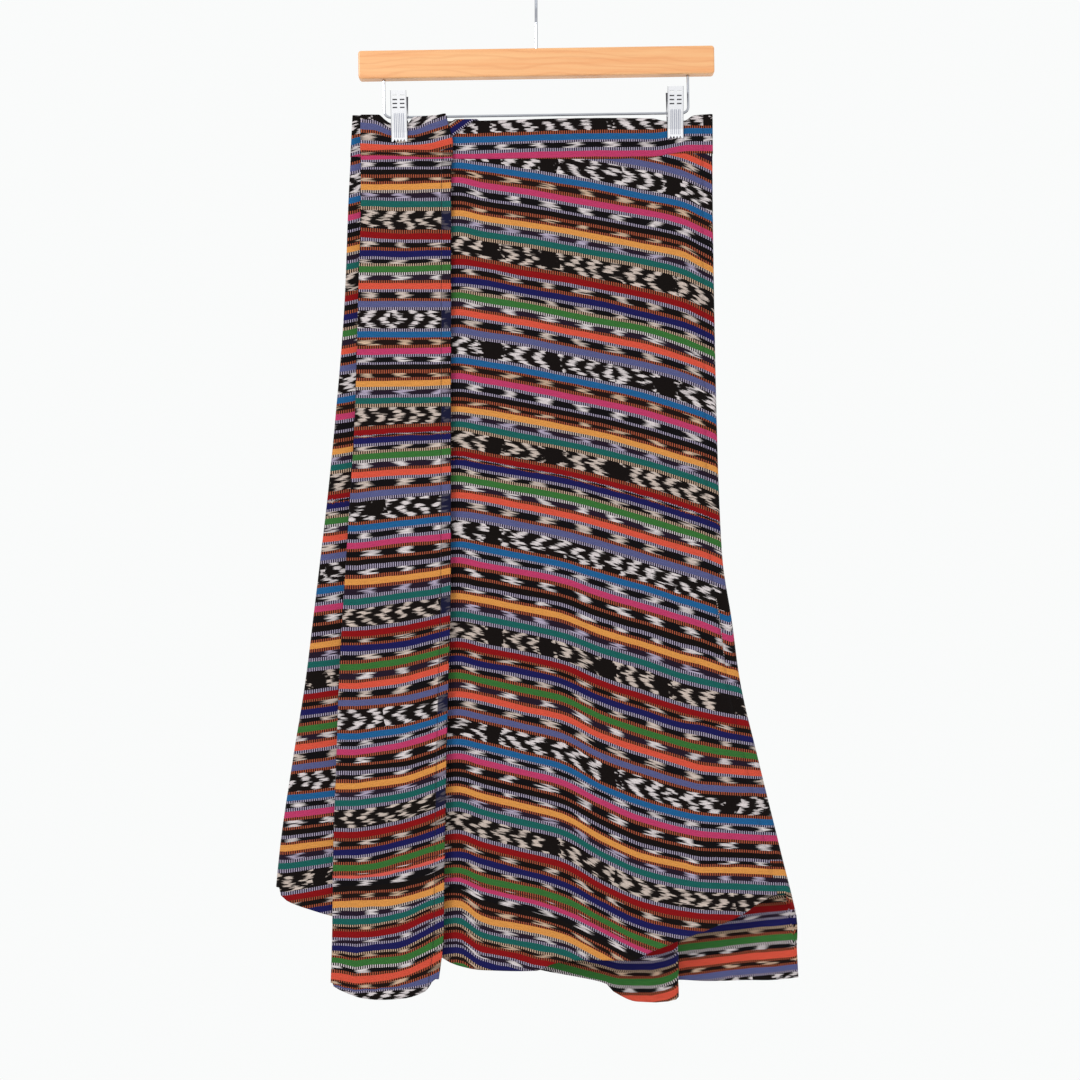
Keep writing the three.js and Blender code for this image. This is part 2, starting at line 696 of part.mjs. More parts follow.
function clip(site) {
  const face = LAYER_PITCH / 2 + BAND_THICKNESS / 2 + SEAM_GAP;
  const frontGrip = face + site.layersInFront * LAYER_PITCH;
  const group = new THREE.Group();
  group.position.set(site.x, 0, CLIP_WIRE.z);
  const frontJaw = geometryOf(jaw(frontGrip, 0, true));
  frontJaw.rotateZ(Math.PI);
  const backJaw = geometryOf(jaw(face, CLIP.sheet + SEAM_GAP, false));

  const bore = CLIP_WIRE.radius + BORE_CLEARANCE;
  const half = CLIP.springLength / 2;
  const coil = new THREE.LatheGeometry([
    [bore, -half], [CLIP.springRadius, -half], [CLIP.springRadius, half], [bore, half],
    [bore, -half],
  ].map(([radius, along]) => new THREE.Vector2(radius, along)), 16);
  coil.rotateZ(Math.PI / 2);
  group.add(
    mesh(`clip_${site.side}_front_jaw`, frontJaw, MATERIALS.chrome),
    mesh(`clip_${site.side}_back_jaw`, backJaw, MATERIALS.chrome),
    mesh(`clip_${site.side}_spring`, coil, MATERIALS.chrome),
  );
  return group;
}

function hanger() {
  const tilted = new THREE.Group();
  tilted.position.z = BAR.topZ;
  tilted.rotation.y = -BAR_TILT;
  const carried = new THREE.Group();
  carried.position.z = -BAR.topZ;
  carried.add(bar(), clipWire(), ...CLIP_SITES.map(clip));
  tilted.add(carried);
  return [hook(), tilted];
}

const skirt = new THREE.Group();
skirt.name = 'striped_skirt_on_hanger';
skirt.add(...skirtPieces(), tie(), ...hanger());

export default skirt;
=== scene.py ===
import math

import bpy
import numpy as np
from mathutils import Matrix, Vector


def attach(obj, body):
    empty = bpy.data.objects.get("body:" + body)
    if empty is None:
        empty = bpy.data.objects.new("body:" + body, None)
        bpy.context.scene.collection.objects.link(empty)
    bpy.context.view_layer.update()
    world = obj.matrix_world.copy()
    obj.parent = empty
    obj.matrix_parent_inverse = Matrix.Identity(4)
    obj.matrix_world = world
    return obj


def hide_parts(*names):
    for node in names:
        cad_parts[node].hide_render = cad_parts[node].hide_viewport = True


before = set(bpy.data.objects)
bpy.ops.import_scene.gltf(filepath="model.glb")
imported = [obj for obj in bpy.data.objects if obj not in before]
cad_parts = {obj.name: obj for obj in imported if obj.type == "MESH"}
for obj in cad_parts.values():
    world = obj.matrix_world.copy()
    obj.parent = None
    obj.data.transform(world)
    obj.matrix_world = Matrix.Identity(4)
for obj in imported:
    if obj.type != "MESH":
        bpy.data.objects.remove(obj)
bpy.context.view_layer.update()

# The looks of a striped wrap skirt on its clip hanger. The cloth is worked out in millimetres in
# the part's own frame, and each mesh turns it into metres.

MM = 0.001

# ---------------------------------------------------------------- sizes, as in the part's source

LAYER_PITCH = 1.7
PANEL_THICKNESS = 0.6
BAND_PLY = 0.45  # one ply of a band, which is folded double
BAND_PLY_OFFSET = 0.45
CLIPPED_Z = -186.0
WAIST_Z = -155.0
LOWEST_Z = -1031.0
SIDE_SEAM_INSET = 8.0
CLIPS_X = (-134.6, 136.9)
WAIST_BELLY = 3.4
HEM_BELLY = 9.0

# z, left fold, right fold, flap's fold, flap's free edge
OUTLINE = [
    (-150, -180.3, 173.4, -172.2, -90.0), (-165, -181.1, 173.5, -172.2, -86.0),
    (-180, -181.8, 173.6, -172.2, -82.3), (-192, -182.5, 173.7, -172.2, -81.9),
    (-206, -183.2, 173.7, -172.2, -83.4), (-236, -184.7, 173.9, -172.2, -83.4),
    (-335, -188.5, 175.3, -174.6, -83.4), (-458, -198.3, 177.9, -178.0, -83.4),
    (-532, -205.7, 180.3, -182.4, -83.4), (-591, -212.6, 183.6, -186.0, -83.4),
    (-650, -219.7, 192.6, -189.6, -84.0), (-709, -227.0, 200.6, -192.6, -85.6),
    (-788, -239.6, 218.8, -195.0, -87.6), (-877, -252.5, 240.6, -197.6, -89.0),
    (-953, -259.0, 258.6, -198.4, -90.0), (-1030, -262.0, 270.0, -200.6, -99.0),
]
# lower and upper edges: x, z
FRONT_HEM = [
    (-257.5, -911), (-246, -925), (-221, -934), (-152, -951), (-95, -978), (-79, -986),
    (-52, -990.5), (1, -990.5), (18, -984), (44, -982), (91, -982), (114, -972), (139, -963),
    (172, -952), (200, -940.5), (220, -927), (248, -916),
]
BACK_HEM = [
    (-257.5, -913), (-231, -927), (-192, -944), (-133, -965), (-34, -991), (5, -999), (46, -1007),
    (69, -1013), (78, -1022), (101, -1031), (118, -1031), (125, -1027), (132, -1018),
    (139, -1010), (169, -1011), (224, -1009), (262, -1004),
]
FLAP_HEM = [
    (-201, -999), (-199, -1003), (-184, -1011), (-168, -1016.5), (-152, -1018), (-128, -1016.5),
    (-108, -1010), (-99, -998),
]
BODY_TOP = [
    (-181, -152.8), (-167, -154), (-152, -159.5), (-142, -162), (-120, -161), (-83, -159.4),
    (-59, -159.2), (25, -157), (65, -156.4), (114, -156.2), (127, -158.6), (146, -158.4),
    (155, -153.4), (172, -151.8),
]
BODY_SEAM = [
    (-181, -193.7), (-83, -196.7), (65, -196.7), (114, -194.7), (136, -190.5), (174, -190.5),
]
FLAP_TOP = [
    (-172, -153.3), (-155, -153.3), (-149, -158), (-143, -161.6), (-127, -162), (-120, -155.6),
    (-97, -154), (-90, -152.8), (-83.4, -155.2),
]
FLAP_SEAM = [(-172, -189.8), (-83, -188.8)]
RIGHT_FOLD_HEMS = [(0, -924), (0.25, -932), (0.5, -942), (0.75, -962), (1, -985)]

# flutes that grow to the hem: where across the width, how wide, how deep
FRONT_FLUTES = [
    (0.12, 0.05, 3.5), (0.30, 0.05, -3), (0.46, 0.06, 4.5), (0.60, 0.05, -4), (0.73, 0.05, 4.5),
    (0.87, 0.05, -3),
]
BACK_FLUTES = [
    (0.10, 0.05, 4), (0.24, 0.05, -3.5), (0.38, 0.06, 5), (0.52, 0.05, -4), (0.66, 0.05, 4),
    (0.90, 0.04, 3),
]
PLEAT = {"x": 132, "half": 14, "lap": 16, "step": 9, "start": -780, "full": -1000}

# creases laid on the front and the back: from x, z to x, z, half width, height
FRONT_CREASES = [
    (-72, -205, -40, -300, 7, 0.5), (-20, -204, -8, -270, 6, -0.4), (38, -203, 34, -262, 5, 0.45),
    (84, -202, 92, -300, 8, -0.5), (112, -200, 128, -236, 5, 0.7), (130, -196, 168, -214, 3.2, 1.1),
    (134, -203, 168, -226, 4, -0.8), (-60, -430, -22, -640, 14, 0.7),
    (40, -420, 88, -610, 15, -0.8), (120, -520, 158, -700, 12, 0.9), (-66, -760, -30, -905, 12, -1),
    (10, -760, 60, -900, 14, 1.2), (95, -800, 150, -930, 12, -1.1), (176, -700, 205, -860, 10, 1),
    (-46, -930, -14, -984, 8, 1.2), (62, -930, 78, -978, 7, -1), (-226, -700, -236, -900, 8, 0.8),
]
BACK_CREASES = [
    (-120, -205, -100, -330, 8, 0.6), (-60, -204, -52, -300, 6, -0.5), (-8, -204, 6, -290, 7, 0.5),
    (60, -203, 74, -320, 8, -0.6), (112, -203, 124, -280, 6, 0.6), (-110, -430, -140, -640, 15, 0.9),
    (-20, -500, -30, -720, 16, -0.9), (60, -460, 90, -680, 14, 0.9), (130, -560, 160, -740, 12, -0.8),
    (-170, -760, -200, -900, 12, 1.1), (-70, -800, -90, -960, 13, -1.2), (0, -800, 8, -980, 12, 1.1),
    (190, -820, 215, -980, 10, -1),
]
FLAP_CREASES = [
    (-118, -186, -86, -178, 3, 0.7), (-120, -193, -88, -196, 3.4, -0.5),
    (-148, -190, -168, -200, 4, 0.5), (-128, -200, -104, -262, 6, 0.5),
    (-150, -205, -160, -300, 7, -0.5), (-110, -470, -100, -700, 10, 0.7),
    (-160, -500, -150, -760, 12, -0.8), (-120, -800, -108, -960, 9, -1),
    (-170, -820, -166, -1000, 10, 1.1), (-100, -930, -112, -1000, 6, 0.9),
]

# ---------------------------------------------------------------- small helpers


def curve(points, column=1):
    """A smooth curve without overshoot through (input, ..., output) rows."""
    rows = sorted((p[0], p[column]) for p in points)
    xs, ys = np.array(rows, float).T
    step = np.diff(xs)
    slope = np.diff(ys) / step
    tangent = np.empty(len(xs))
    tangent[0], tangent[-1] = slope[0], slope[-1]
    before, after = slope[:-1], slope[1:]
    same = before * after > 0
    tangent[1:-1] = np.where(same, 2 * before * after / np.where(same, before + after, 1), 0)

    def at(value):
        v = np.clip(np.asarray(value, float), xs[0], xs[-1])
        i = np.clip(np.searchsorted(xs, v, side="right") - 1, 0, len(step) - 1)
        t = (v - xs[i]) / step[i]
        u = 1 - t
        return (u * u * (1 + 2 * t) * ys[i] + t * t * (3 - 2 * t) * ys[i + 1]
                + step[i] * t * u * (u * tangent[i] - t * tangent[i + 1]))

    return at


def smooth(low, high, value):
    t = np.clip((np.asarray(value, float) - low) / (high - low), 0, 1)
    return t * t * (3 - 2 * t)


left_fold, right_fold, flap_fold, flap_edge = (curve(OUTLINE, i) for i in (1, 2, 3, 4))
front_hem, back_hem, flap_hem = curve(FRONT_HEM), curve(BACK_HEM), curve(FLAP_HEM)
body_top, body_seam = curve(BODY_TOP), curve(BODY_SEAM)
flap_top, flap_seam = curve(FLAP_TOP), curve(FLAP_SEAM)
right_fold_hem = curve(RIGHT_FOLD_HEMS)


def fall(z):
    return np.clip((CLIPPED_Z - z) / (CLIPPED_Z - LOWEST_Z), 0, 1)


def fold_radius(z):
    return LAYER_PITCH / 2 + 6 * fall(z)


def grip(x, z):
    beside = np.minimum(abs(x - CLIPS_X[0]), abs(x - CLIPS_X[1]))
    return smooth(52, 11, beside) * smooth(-330, CLIPPED_Z, z)


def creased(creases, x, z):
    """Height of the listed creases at x, z."""
    total = 0 * (x + z)
    for x0, z0, x1, z1, half, height in creases:
        dx, dz = x1 - x0, z1 - z0
        share = ((x - x0) * dx + (z - z0) * dz) / (dx * dx + dz * dz)
        held = np.clip(share, 0, 1)
        away = np.hypot(x - x0 - held * dx, z - z0 - held * dz)
        fade = np.sin(np.pi * np.clip(0.12 + 0.76 * share, 0, 1)) ** 0.7
        total = total + height * fade * np.exp(-((away / half) ** 2))
    return total


def body_depth(x, z, flutes, creases):
    radius = fold_radius(z)
    left, right = left_fold(z) + radius, right_fold(z) - radius
    across = np.clip((x - left) / (right - left), 0, 1)
    belly = (WAIST_BELLY + HEM_BELLY * fall(z)) * np.sin(np.pi * across)
    wave = sum(d * np.exp(-(((across - at) / w) ** 2)) for at, w, d in flutes)
    held = 1 - grip(x, z)
    edge = smooth(0, 0.05, across * (1 - across))
    return (radius + belly * held + wave * fall(z) ** 1.5 * edge
            + creased(creases, x, z) * (0.3 + 0.7 * held) * smooth(0, 0.02, across * (1 - across)))


def front_depth(x, z):
    return body_depth(x, z, FRONT_FLUTES, FRONT_CREASES)


def point(x, y, z):
    x, y, z = np.broadcast_arrays(np.asarray(x, float), np.asarray(y, float), np.asarray(z, float))
    return np.stack([x, y, z], -1)


def front_point(x, z):
    return point(x, -front_depth(x, z), z)


def back_point(x, z):
    pleat = smooth(PLEAT["start"], PLEAT["full"], z)
    share = np.clip((PLEAT["x"] + PLEAT["half"] - x) / (2 * PLEAT["half"]), 0, 1)
    shift = -PLEAT["lap"] * pleat * np.sin(2 * np.pi * share)
    fade = smooth(-60, 90, x) * smooth(260, 190, x)
    side = 0.5 - smooth(0, 1, share)
    depth = body_depth(x, z, BACK_FLUTES, BACK_CREASES)
    return point(x + shift, depth + PLEAT["step"] * pleat * side * fade, z)


def fold_point(fold_x, side, radius, turn, z):
    angle = np.pi * turn
    return point(fold_x - side * radius * (1 - np.sin(angle)), -radius * np.cos(angle), z)


# ---------------------------------------------------------------- where each stripe runs
# A place on the cloth is chart (across the stripes, in millimetres of the weaver's sequence) and
# along (down a stripe). Stripe centres are given as heights in the photo at a few x.

PHOTO_MM = 0.986  # millimetres in a pixel, where the skirt hangs
EYE = (3.84, -1600.0, -571.4)  # the camera's place, in millimetres
EYE_PX = (538.5, 540)  # the pixel straight ahead of the eye
PHOTO_HALF = 540 * PHOTO_MM
SENSOR = 36


def photo_place(p, flat_x=None):
    """Pixel place at which the camera sees a point, or at which it would see x at flat_x."""
    near = -EYE[1] / (p[..., 1] - EYE[1])
    x = p[..., 0] if flat_x is None else flat_x
    return (EYE_PX[0] + (x - EYE[0]) / PHOTO_MM * near,
            EYE_PX[1] - (p[..., 2] - EYE[2]) / PHOTO_MM * near)


STRIPE_HALF = 3.2
PINCHED_HALF = {"blur0": 2.6, "pink0": 3.05, "violet": 3.2}
REPEAT = 200.0
# stripe centres within one repeat and, from its join down, within the border
AT = {"yellow": 0, "teal": 17, "red": 49, "navy": 66.5, "green": 83, "orange": 101, "violet": 120,
      "sky": 151, "blur": 160, "pink": 169, "black": 186}
BORDER_START = 890.0
BORDER_AT = {"seam": 4, "black": 18, "yellow": 34, "teal": 49, "red": 62, "navy": 77, "green": 93,
             "orange": 106, "violet": 121}

FRONT_X = (285, 345, 456, 480, 520, 560, 600, 640, 680, 700, 730, 770)
FRONT_STRIPES = [
    ("orange0", 156, 150, 118, 119, 124, 130, 137, 146, 155, 163, 178, 196),
    ("violet0", 175, 169, 135, 137, 143, 149, 156, 163, 173, 182, 197, 215),
    ("sky0", 207, 201, 165, 168, 174, 180, 187, 196, 204, 213, 228, 245),
    ("pink0", 224, 218, 180, 185, 191, 198, 205, 212, 221, 230, 245, 262),
    ("yellow1", 256, 250, 213, 218, 224, 230, 238, 246, 254, 264, 279, 296),
    ("teal1", 273, 267, 229, 234, 240, 247, 254, 261, 271, 280, 295, 312),
    ("red1", 304, 298, 261, 264, 272, 278, 286, 294, 304, 313, 328, 346),
    ("navy1", 323, 317, 280, 282, 290, 297, 304, 314, 324, 332, 347, 366),
    ("green1", 339, 333, 295, 299, 305, 313, 321, 328, 340, 348, 362, 380),
    ("orange1", 357, 351, 312, 316, 322, 330, 338, 346, 358, 365, 379, 397),
    ("violet1", 374, 368, 330, 334, 340, 348, 356, 364, 375, 383, 397, 414),
    ("sky1", 405, 399, 360, 363, 370, 378, 386, 395, 407, 414, 428, 445),
    ("pink1", 422, 416, 376, 380, 387, 395, 403, 412, 424, 431, 444, 461),
    ("yellow2", 456, 450, 409, 412, 419, 427, 435, 446, 458, 464, 476, 492),
    ("teal2", 472, 466, 424, 428, 436, 443, 452, 462, 474, 481, 493, 508),
    ("red2", 501, 495, 453, 457, 465, 472, 481, 492, 504, 511, 523, 538),
    ("navy2", 510, 503.5, 462, 466, 473, 480, 490, 501, 514, 520, 532, 547),
    ("green2", 525, 519, 478, 482, 489, 496, 506, 518, 530, 536, 548, 562),
    ("orange2", 543, 536, 495, 498, 506, 514, 524, 536, 548, 554, 566, 580),
    ("violet2", 561, 554, 514, 517, 525, 533, 544, 556, 568, 574, 585, 600),
    ("sky2", 594, 587, 544, 548, 556, 564, 576, 587, 600, 606, 617, 630),
    ("pink2", 612, 605, 560, 565, 572, 580, 594, 606, 618, 624, 636, 646),
    ("yellow3", 649, 641, 596, 600, 608, 616, 632, 644, 657, 662, 672, 680),
    ("teal3", 667, 660, 614, 618, 626, 635, 650, 662, 676, 681, 688, 696),
    ("red3", 699, 690, 644, 649, 657, 666, 683, 696, 709, 714, 720, 726),
    ("navy3", 714, 706, 658, 664, 671, 681, 699, 712, 725, 728, 736, 742),
    ("green3", 731, 722, 675, 680, 689, 698, 717, 731, 743, 748, 753, 758),
    ("orange3", 749, 740, 694, 698, 708, 717, 736, 750, 762, 768, 771, 774),
    ("violet3", 769, 760, 712, 717, 726, 736, 756, 770, 782, 787, 789, 791),
    ("sky3", 798, 791, 741, 746, 756, 766, 787, 803, 814, 818, 820, 822),
    ("pink3", 815, 807, 756, 762, 772, 782, 802, 819, 830, 834, 836, 838),
    ("yellow4", 848, 840, 789, 796, 806, 816, 838, 856, 865, 870, 870, 872),
    ("teal4", 866, 856, 804, 812, 822, 832, 854, 872, 882, 885, 886, 888),
    ("red4", 898, 886, 836, 844, 854, 864, 886, 904, 913, 916, 917, 920),
    ("navy4", 915, 903, 854, 861, 872, 883, 904, 923, 932, 934, 935, 938),
    ("green4", 932, 919, 869, 878, 888, 898, 919, 939, 950, 952, 953, 956),
    ("seam", 942, 929, 879, 888, 899, 910, 930, 949, 961, 964, 965, 968),
    ("yellow", 970, 957, 904, 918, 928, 937, 957, 977, 989, 992, 993, 996),
    ("teal", 985, 972, 920, 934, 944, 951, 972, 992, 1004, 1007, 1008, 1011),
    ("red", 999, 986, 934, 948, 958, 967, 987, 1007, 1019, 1022, 1023, 1026),
    ("navy", 1014, 1001, 950, 963, 974, 983, 1003, 1022, 1034, 1037, 1038, 1041),
]
FLAP_X = (355, 370, 400, 430, 448)
FLAP_STRIPES = [
    ("blur0", 154, 154, 154, 154, 154), ("pink0", 157.2, 157.2, 157.5, 158, 158),
    ("black0", 172, 172, 172, 172, 171.5),
    ("yellow1", 187, 187, 187, 186, 185), ("teal1", 203, 203, 204, 204, 204),
    ("red1", 233, 234, 236, 236, 236), ("navy1", 253, 253, 254, 253, 253),
    ("green1", 269, 269, 269, 268, 267), ("orange1", 286, 286, 286, 286, 286),
    ("violet1", 304, 304, 304, 304, 304), ("sky1", 334, 334, 334, 334, 334),
    ("pink1", 352, 352, 351, 351, 350), ("black1", 367, 367, 367, 367, 366),
    ("yellow2", 384, 384, 383.5, 383, 382), ("teal2", 401, 401, 400, 400, 400),
    ("red2", 433, 432, 430, 429, 428), ("navy2", 441, 440, 438, 437, 436),
    ("green2", 457, 456, 454, 453, 451), ("orange2", 475, 474, 472, 471, 469),
    ("violet2", 496, 494, 491, 489, 487), ("sky2", 528, 526, 523, 520, 518),
    ("pink2", 546, 544, 540, 538, 536), ("black2", 563, 561, 559, 556, 553),
    ("yellow3", 582, 581, 578, 574, 571), ("teal3", 602, 600, 596, 592, 588),
    ("red3", 633, 632, 628, 622, 618), ("navy3", 648, 647, 644, 637, 632),
    ("green3", 667, 665, 661, 654, 649), ("orange3", 686, 684, 680, 672, 666),
    ("violet3", 703, 702, 699, 692, 686), ("sky3", 736, 734, 730, 722, 715),
    ("pink3", 752, 750, 745, 736, 729), ("black3", 768, 767, 764, 756, 748),
    ("yellow4", 786, 784, 780, 770, 762), ("teal4", 803, 801, 796, 787, 779),
    ("red4", 834, 832, 826, 816, 808), ("navy4", 852, 850, 843, 834, 826),
    ("green4", 868, 866, 859, 849, 842), ("seam", 877, 875, 870, 862, 855),
    ("black", 889, 888, 884, 876, 868), ("yellow", 905, 904, 900, 892, 884),
    ("teal", 921, 920, 915, 903, 896), ("red", 934, 933, 928, 916, 908),
    ("navy", 950, 948, 944, 930, 921), ("green", 964, 962, 958, 946, 936),
    ("orange", 980, 978, 973, 960, 950), ("violet", 990, 989.5, 986.5, 978.5, 968),
]
# The back is given along its right fold, and how far each stripe hangs below that elsewhere.
BACK_RIGHT = [
    ("orange0", 169), ("violet0", 188), ("sky0", 219), ("pink0", 236), ("yellow1", 269),
    ("teal1", 286), ("red1", 318), ("navy1", 337), ("green1", 353), ("orange1", 370),
    ("violet1", 388), ("sky1", 419), ("pink1", 436), ("yellow2", 469), ("teal2", 486),
    ("red2", 516), ("navy2", 525), ("green2", 541), ("orange2", 559), ("violet2", 578),
    ("sky2", 611), ("pink2", 630), ("yellow3", 674), ("teal3", 691), ("red3", 722),
    ("navy3", 738), ("green3", 755), ("orange3", 771), ("violet3", 788), ("sky3", 819),
    ("pink3", 838), ("black3", 857), ("yellow", 873), ("teal", 890), ("red", 905.5),
    ("navy", 920), ("green", 935), ("orange", 951), ("violet", 966),
]
BACK_DROP = [(280, -30), (350, -18), (450, 6), (540, 27), (600, 42), (620, 47), (650, 47), (654, 46),
             (657.5, 42), (661.5, 36), (675, 20), (681, 13), (700, 10.5), (740, 6), (770, 3), (805, 0)]
# the same above the pleat
BACK_DROP_HIGH = [(280, -12), (350, -8), (450, 2), (540, 9), (600, 12), (660, 10.5), (700, 7), (740, 3),
                  (805, 0)]
BACK_BORDER_START, BACK_BORDER_SKIP = 790.0, 21.0


def chart_of(label, start=BORDER_START, skip=0.0):
    """Chart place of a stripe: sky2 is the second repeat's sky, a bare name is in the border."""
    name = label.rstrip("-0123456789")
    if label == name:
        return start - skip + BORDER_AT[name]
    return AT[name] + REPEAT * int(label[len(name):])


def read_chart(px, py, rows, columns, pinched=None, **border):
    """Chart places of pixels from rows of (label, y at each column). A pinched stripe is drawn
    together to a half width of its own."""
    centres = np.array([chart_of(row[0], **border) for row in rows])
    if columns is None:
        heights = np.array([np.full(px.shape, row[1]) for row in rows])
    else:
        heights = np.array([curve(list(zip(columns, row[1:])))(px) for row in rows])
    half = np.array([(pinched or {}).get(row[0], lambda x: STRIPE_HALF + 0 * x)(px) for row in rows])
    reach = np.array([PINCHED_HALF.get(row[0], 2.3) if row[0] in (pinched or {}) else STRIPE_HALF
                      for row in rows])
    known = np.stack([heights - half, heights + half], 1).reshape(-1, px.size)
    chart = np.stack([centres - reach, centres + reach], 1).reshape(-1)
    chart = np.concatenate([[chart[0] - 60], chart, [chart[-1] + 80]])
    known = np.concatenate([known[:1] - 60, known, known[-1:] + 80])
    return np.array([np.interp(y, known[:, i], chart) for i, y in enumerate(py)])


def front_chart(px, py):
    return read_chart(px, py, FRONT_STRIPES, FRONT_X)


def flap_chart(px, py):
    pinched = {
        "blur0": lambda x: 1.1 + 0 * x,
        "pink0": lambda x: 0.1 + 1.4 * smooth(418, 394, x) + 1.1 * smooth(394, 366, x),
        "seam": lambda x: 1.3 + 0.4 * np.sin(x / 6),
        "violet": lambda x: 0.15 + 3.4 * smooth(382, 430, x),
    }
    py = py + 4.5 * smooth(356, 330, px) * smooth(935, 968, py)
    return read_chart(px, py, FLAP_STRIPES, FLAP_X, pinched)


def back_chart(px, py):
    high = curve(BACK_DROP_HIGH)(px)
    drop = high + (curve(BACK_DROP)(px) - high) * smooth(640, 925, py)
    border = {"start": BACK_BORDER_START, "skip": BACK_BORDER_SKIP}
    return read_chart(px, py - drop, BACK_RIGHT, None, **border)


def body_band_chart(px, py):
    """The bands' sky and pink stripes run level and rise beside the right clip."""
    rise = 3.5 * smooth(452, 600, px) + 5.5 * smooth(650, 690, px) * smooth(112, 132, py)
    rise = rise - 3 * smooth(360, 345, px)
    rows = [("violet3", 105), ("sky3", 138 + 1.5), ("pink3", 155.5 + 1.5)]
    return read_chart(px, py + rise, rows, None)


def flap_band_chart(px, py):
    """The flap's band is cut the other way up: violet above orange."""
    violet = curve([(355, 126), (372, 127), (392, 133.5), (410, 133), (430, 127), (448, 121)])(px)
    orange = curve([(355, 147), (400, 147.5), (425, 147.5), (440, 144), (450, 141)])(px)
    share = (py - violet) / (orange - violet)
    return AT["violet"] - share * (AT["violet"] - AT["orange"])


# ---------------------------------------------------------------- columns of cloth


def column(read_x, hem, place, flat=None, tuck=0.0, front=0.0):
    """front is how far the back's cloth takes up the stripes of the front beside it."""
    return {"x": read_x, "hem": hem, "place": place, "flat": flat, "tuck": tuck, "front": front}


def front_columns(count):
    for inset in (SIDE_SEAM_INSET, 5.0, 2.2):
        yield column(
            left_fold, back_hem,
            lambda z, n=inset: back_point(left_fold(z) + fold_radius(z) + n, z),
            lambda z, n=inset: left_fold(z) + fold_radius(z) * (1 - np.pi) - n,
        )
    for turn in np.linspace(1, 0, 9)[:-1]:
        yield column(
            left_fold, front_hem if turn < 0.9 else back_hem,
            lambda z, t=turn: fold_point(left_fold(z), -1, fold_radius(z), t, z),
            lambda z, t=turn: left_fold(z) + fold_radius(z) * (1 - np.pi * t),
        )
    for share in np.linspace(0, 1, count):
        def read_x(z, s=share):
            left = left_fold(z) + fold_radius(z)
            right = right_fold(z) - fold_radius(z) - SIDE_SEAM_INSET
            return left + (right - left) * s
        yield column(read_x, front_hem, lambda z, f=read_x: seamed(front_point(f(z), z), f(z)))


SEAM_SHOWS = (-628, -686)  # heights between which the side seam is drawn in


def seamed(p, x):
    """Draws the front in a little where it is sewn to the back at the right side seam."""
    z = p[..., 2]
    edge = right_fold(z) - fold_radius(z) - SIDE_SEAM_INSET
    away = np.abs(x - edge)
    pull = smooth(SEAM_SHOWS[0] + 30, SEAM_SHOWS[0], z) * smooth(SEAM_SHOWS[1] - 30, SEAM_SHOWS[1], z)
    p = p.copy()
    p[..., 1] += pull * (0.75 * np.exp(-((away / 1.6) ** 2)) - 0.3 * np.exp(-(((away - 4.5) / 2.5) ** 2)))
    return p


def back_columns(count):
    def seam_x(z, inset):
        return right_fold(z) - fold_radius(z) - inset
    for inset in (SIDE_SEAM_INSET, 6.6, 5.2, 3.2, 1.4):
        yield column(
            lambda z, n=inset: seam_x(z, n), front_hem,
            lambda z, n=inset: seamed(front_point(seam_x(z, n), z), seam_x(z, n)),
            lambda z, n=inset: right_fold(z) + fold_radius(z) * (np.pi - 1) + n, front=1.0,
        )
    for turn in np.linspace(0, 1, 9)[:-1]:
        yield column(
            right_fold, lambda x, t=turn: right_fold_hem(t) + 0 * x,
            lambda z, t=turn: fold_point(right_fold(z), 1, fold_radius(z), t, z),
            lambda z, t=turn: right_fold(z) - fold_radius(z) * (1 - np.pi * (1 - t)),
            front=float(1 - smooth(0, 0.7, turn)),
        )
    shares = np.concatenate([
        np.linspace(0, 0.2, 15), np.linspace(0.2, 0.34, 26)[1:], np.linspace(0.34, 1, count)[1:],
    ])
    for share in shares:
        def read_x(z, s=share):
            left = left_fold(z) + fold_radius(z) + SIDE_SEAM_INSET
            right = right_fold(z) - fold_radius(z)
            return right + (left - right) * s
        yield column(read_x, back_hem, lambda z, f=read_x: back_point(f(z), z), read_x)


TURNED_HEM = 9.5  # width of the hem turned under at the flap's free edge
PLAIN_FACE = 14  # from here in, the flap's face has no seam


def turned_under(z):
    return LAYER_PITCH + 1.5 * fall(z)


def flap_radius(z):
    return LAYER_PITCH / 2 + 2.6 * fall(z)


def flap_lay(x, z, out):
    return point(x, -front_depth(x, z) - out, z)


def flap_face(x, z):
    """The flap's face: a dip along the topstitching and a soft ridge beside it."""
    inside = flap_edge(z) - x
    dip = -0.3 * np.exp(-(((inside - TURNED_HEM) / 1.1) ** 2)) + 0.3 * smooth(TURNED_HEM, 7, inside)
    lift = creased(FLAP_CREASES, x, z) * (1 - 0.6 * grip(x, z))
    return flap_lay(x, z, turned_under(z) + 2 * flap_radius(z) + lift + dip)


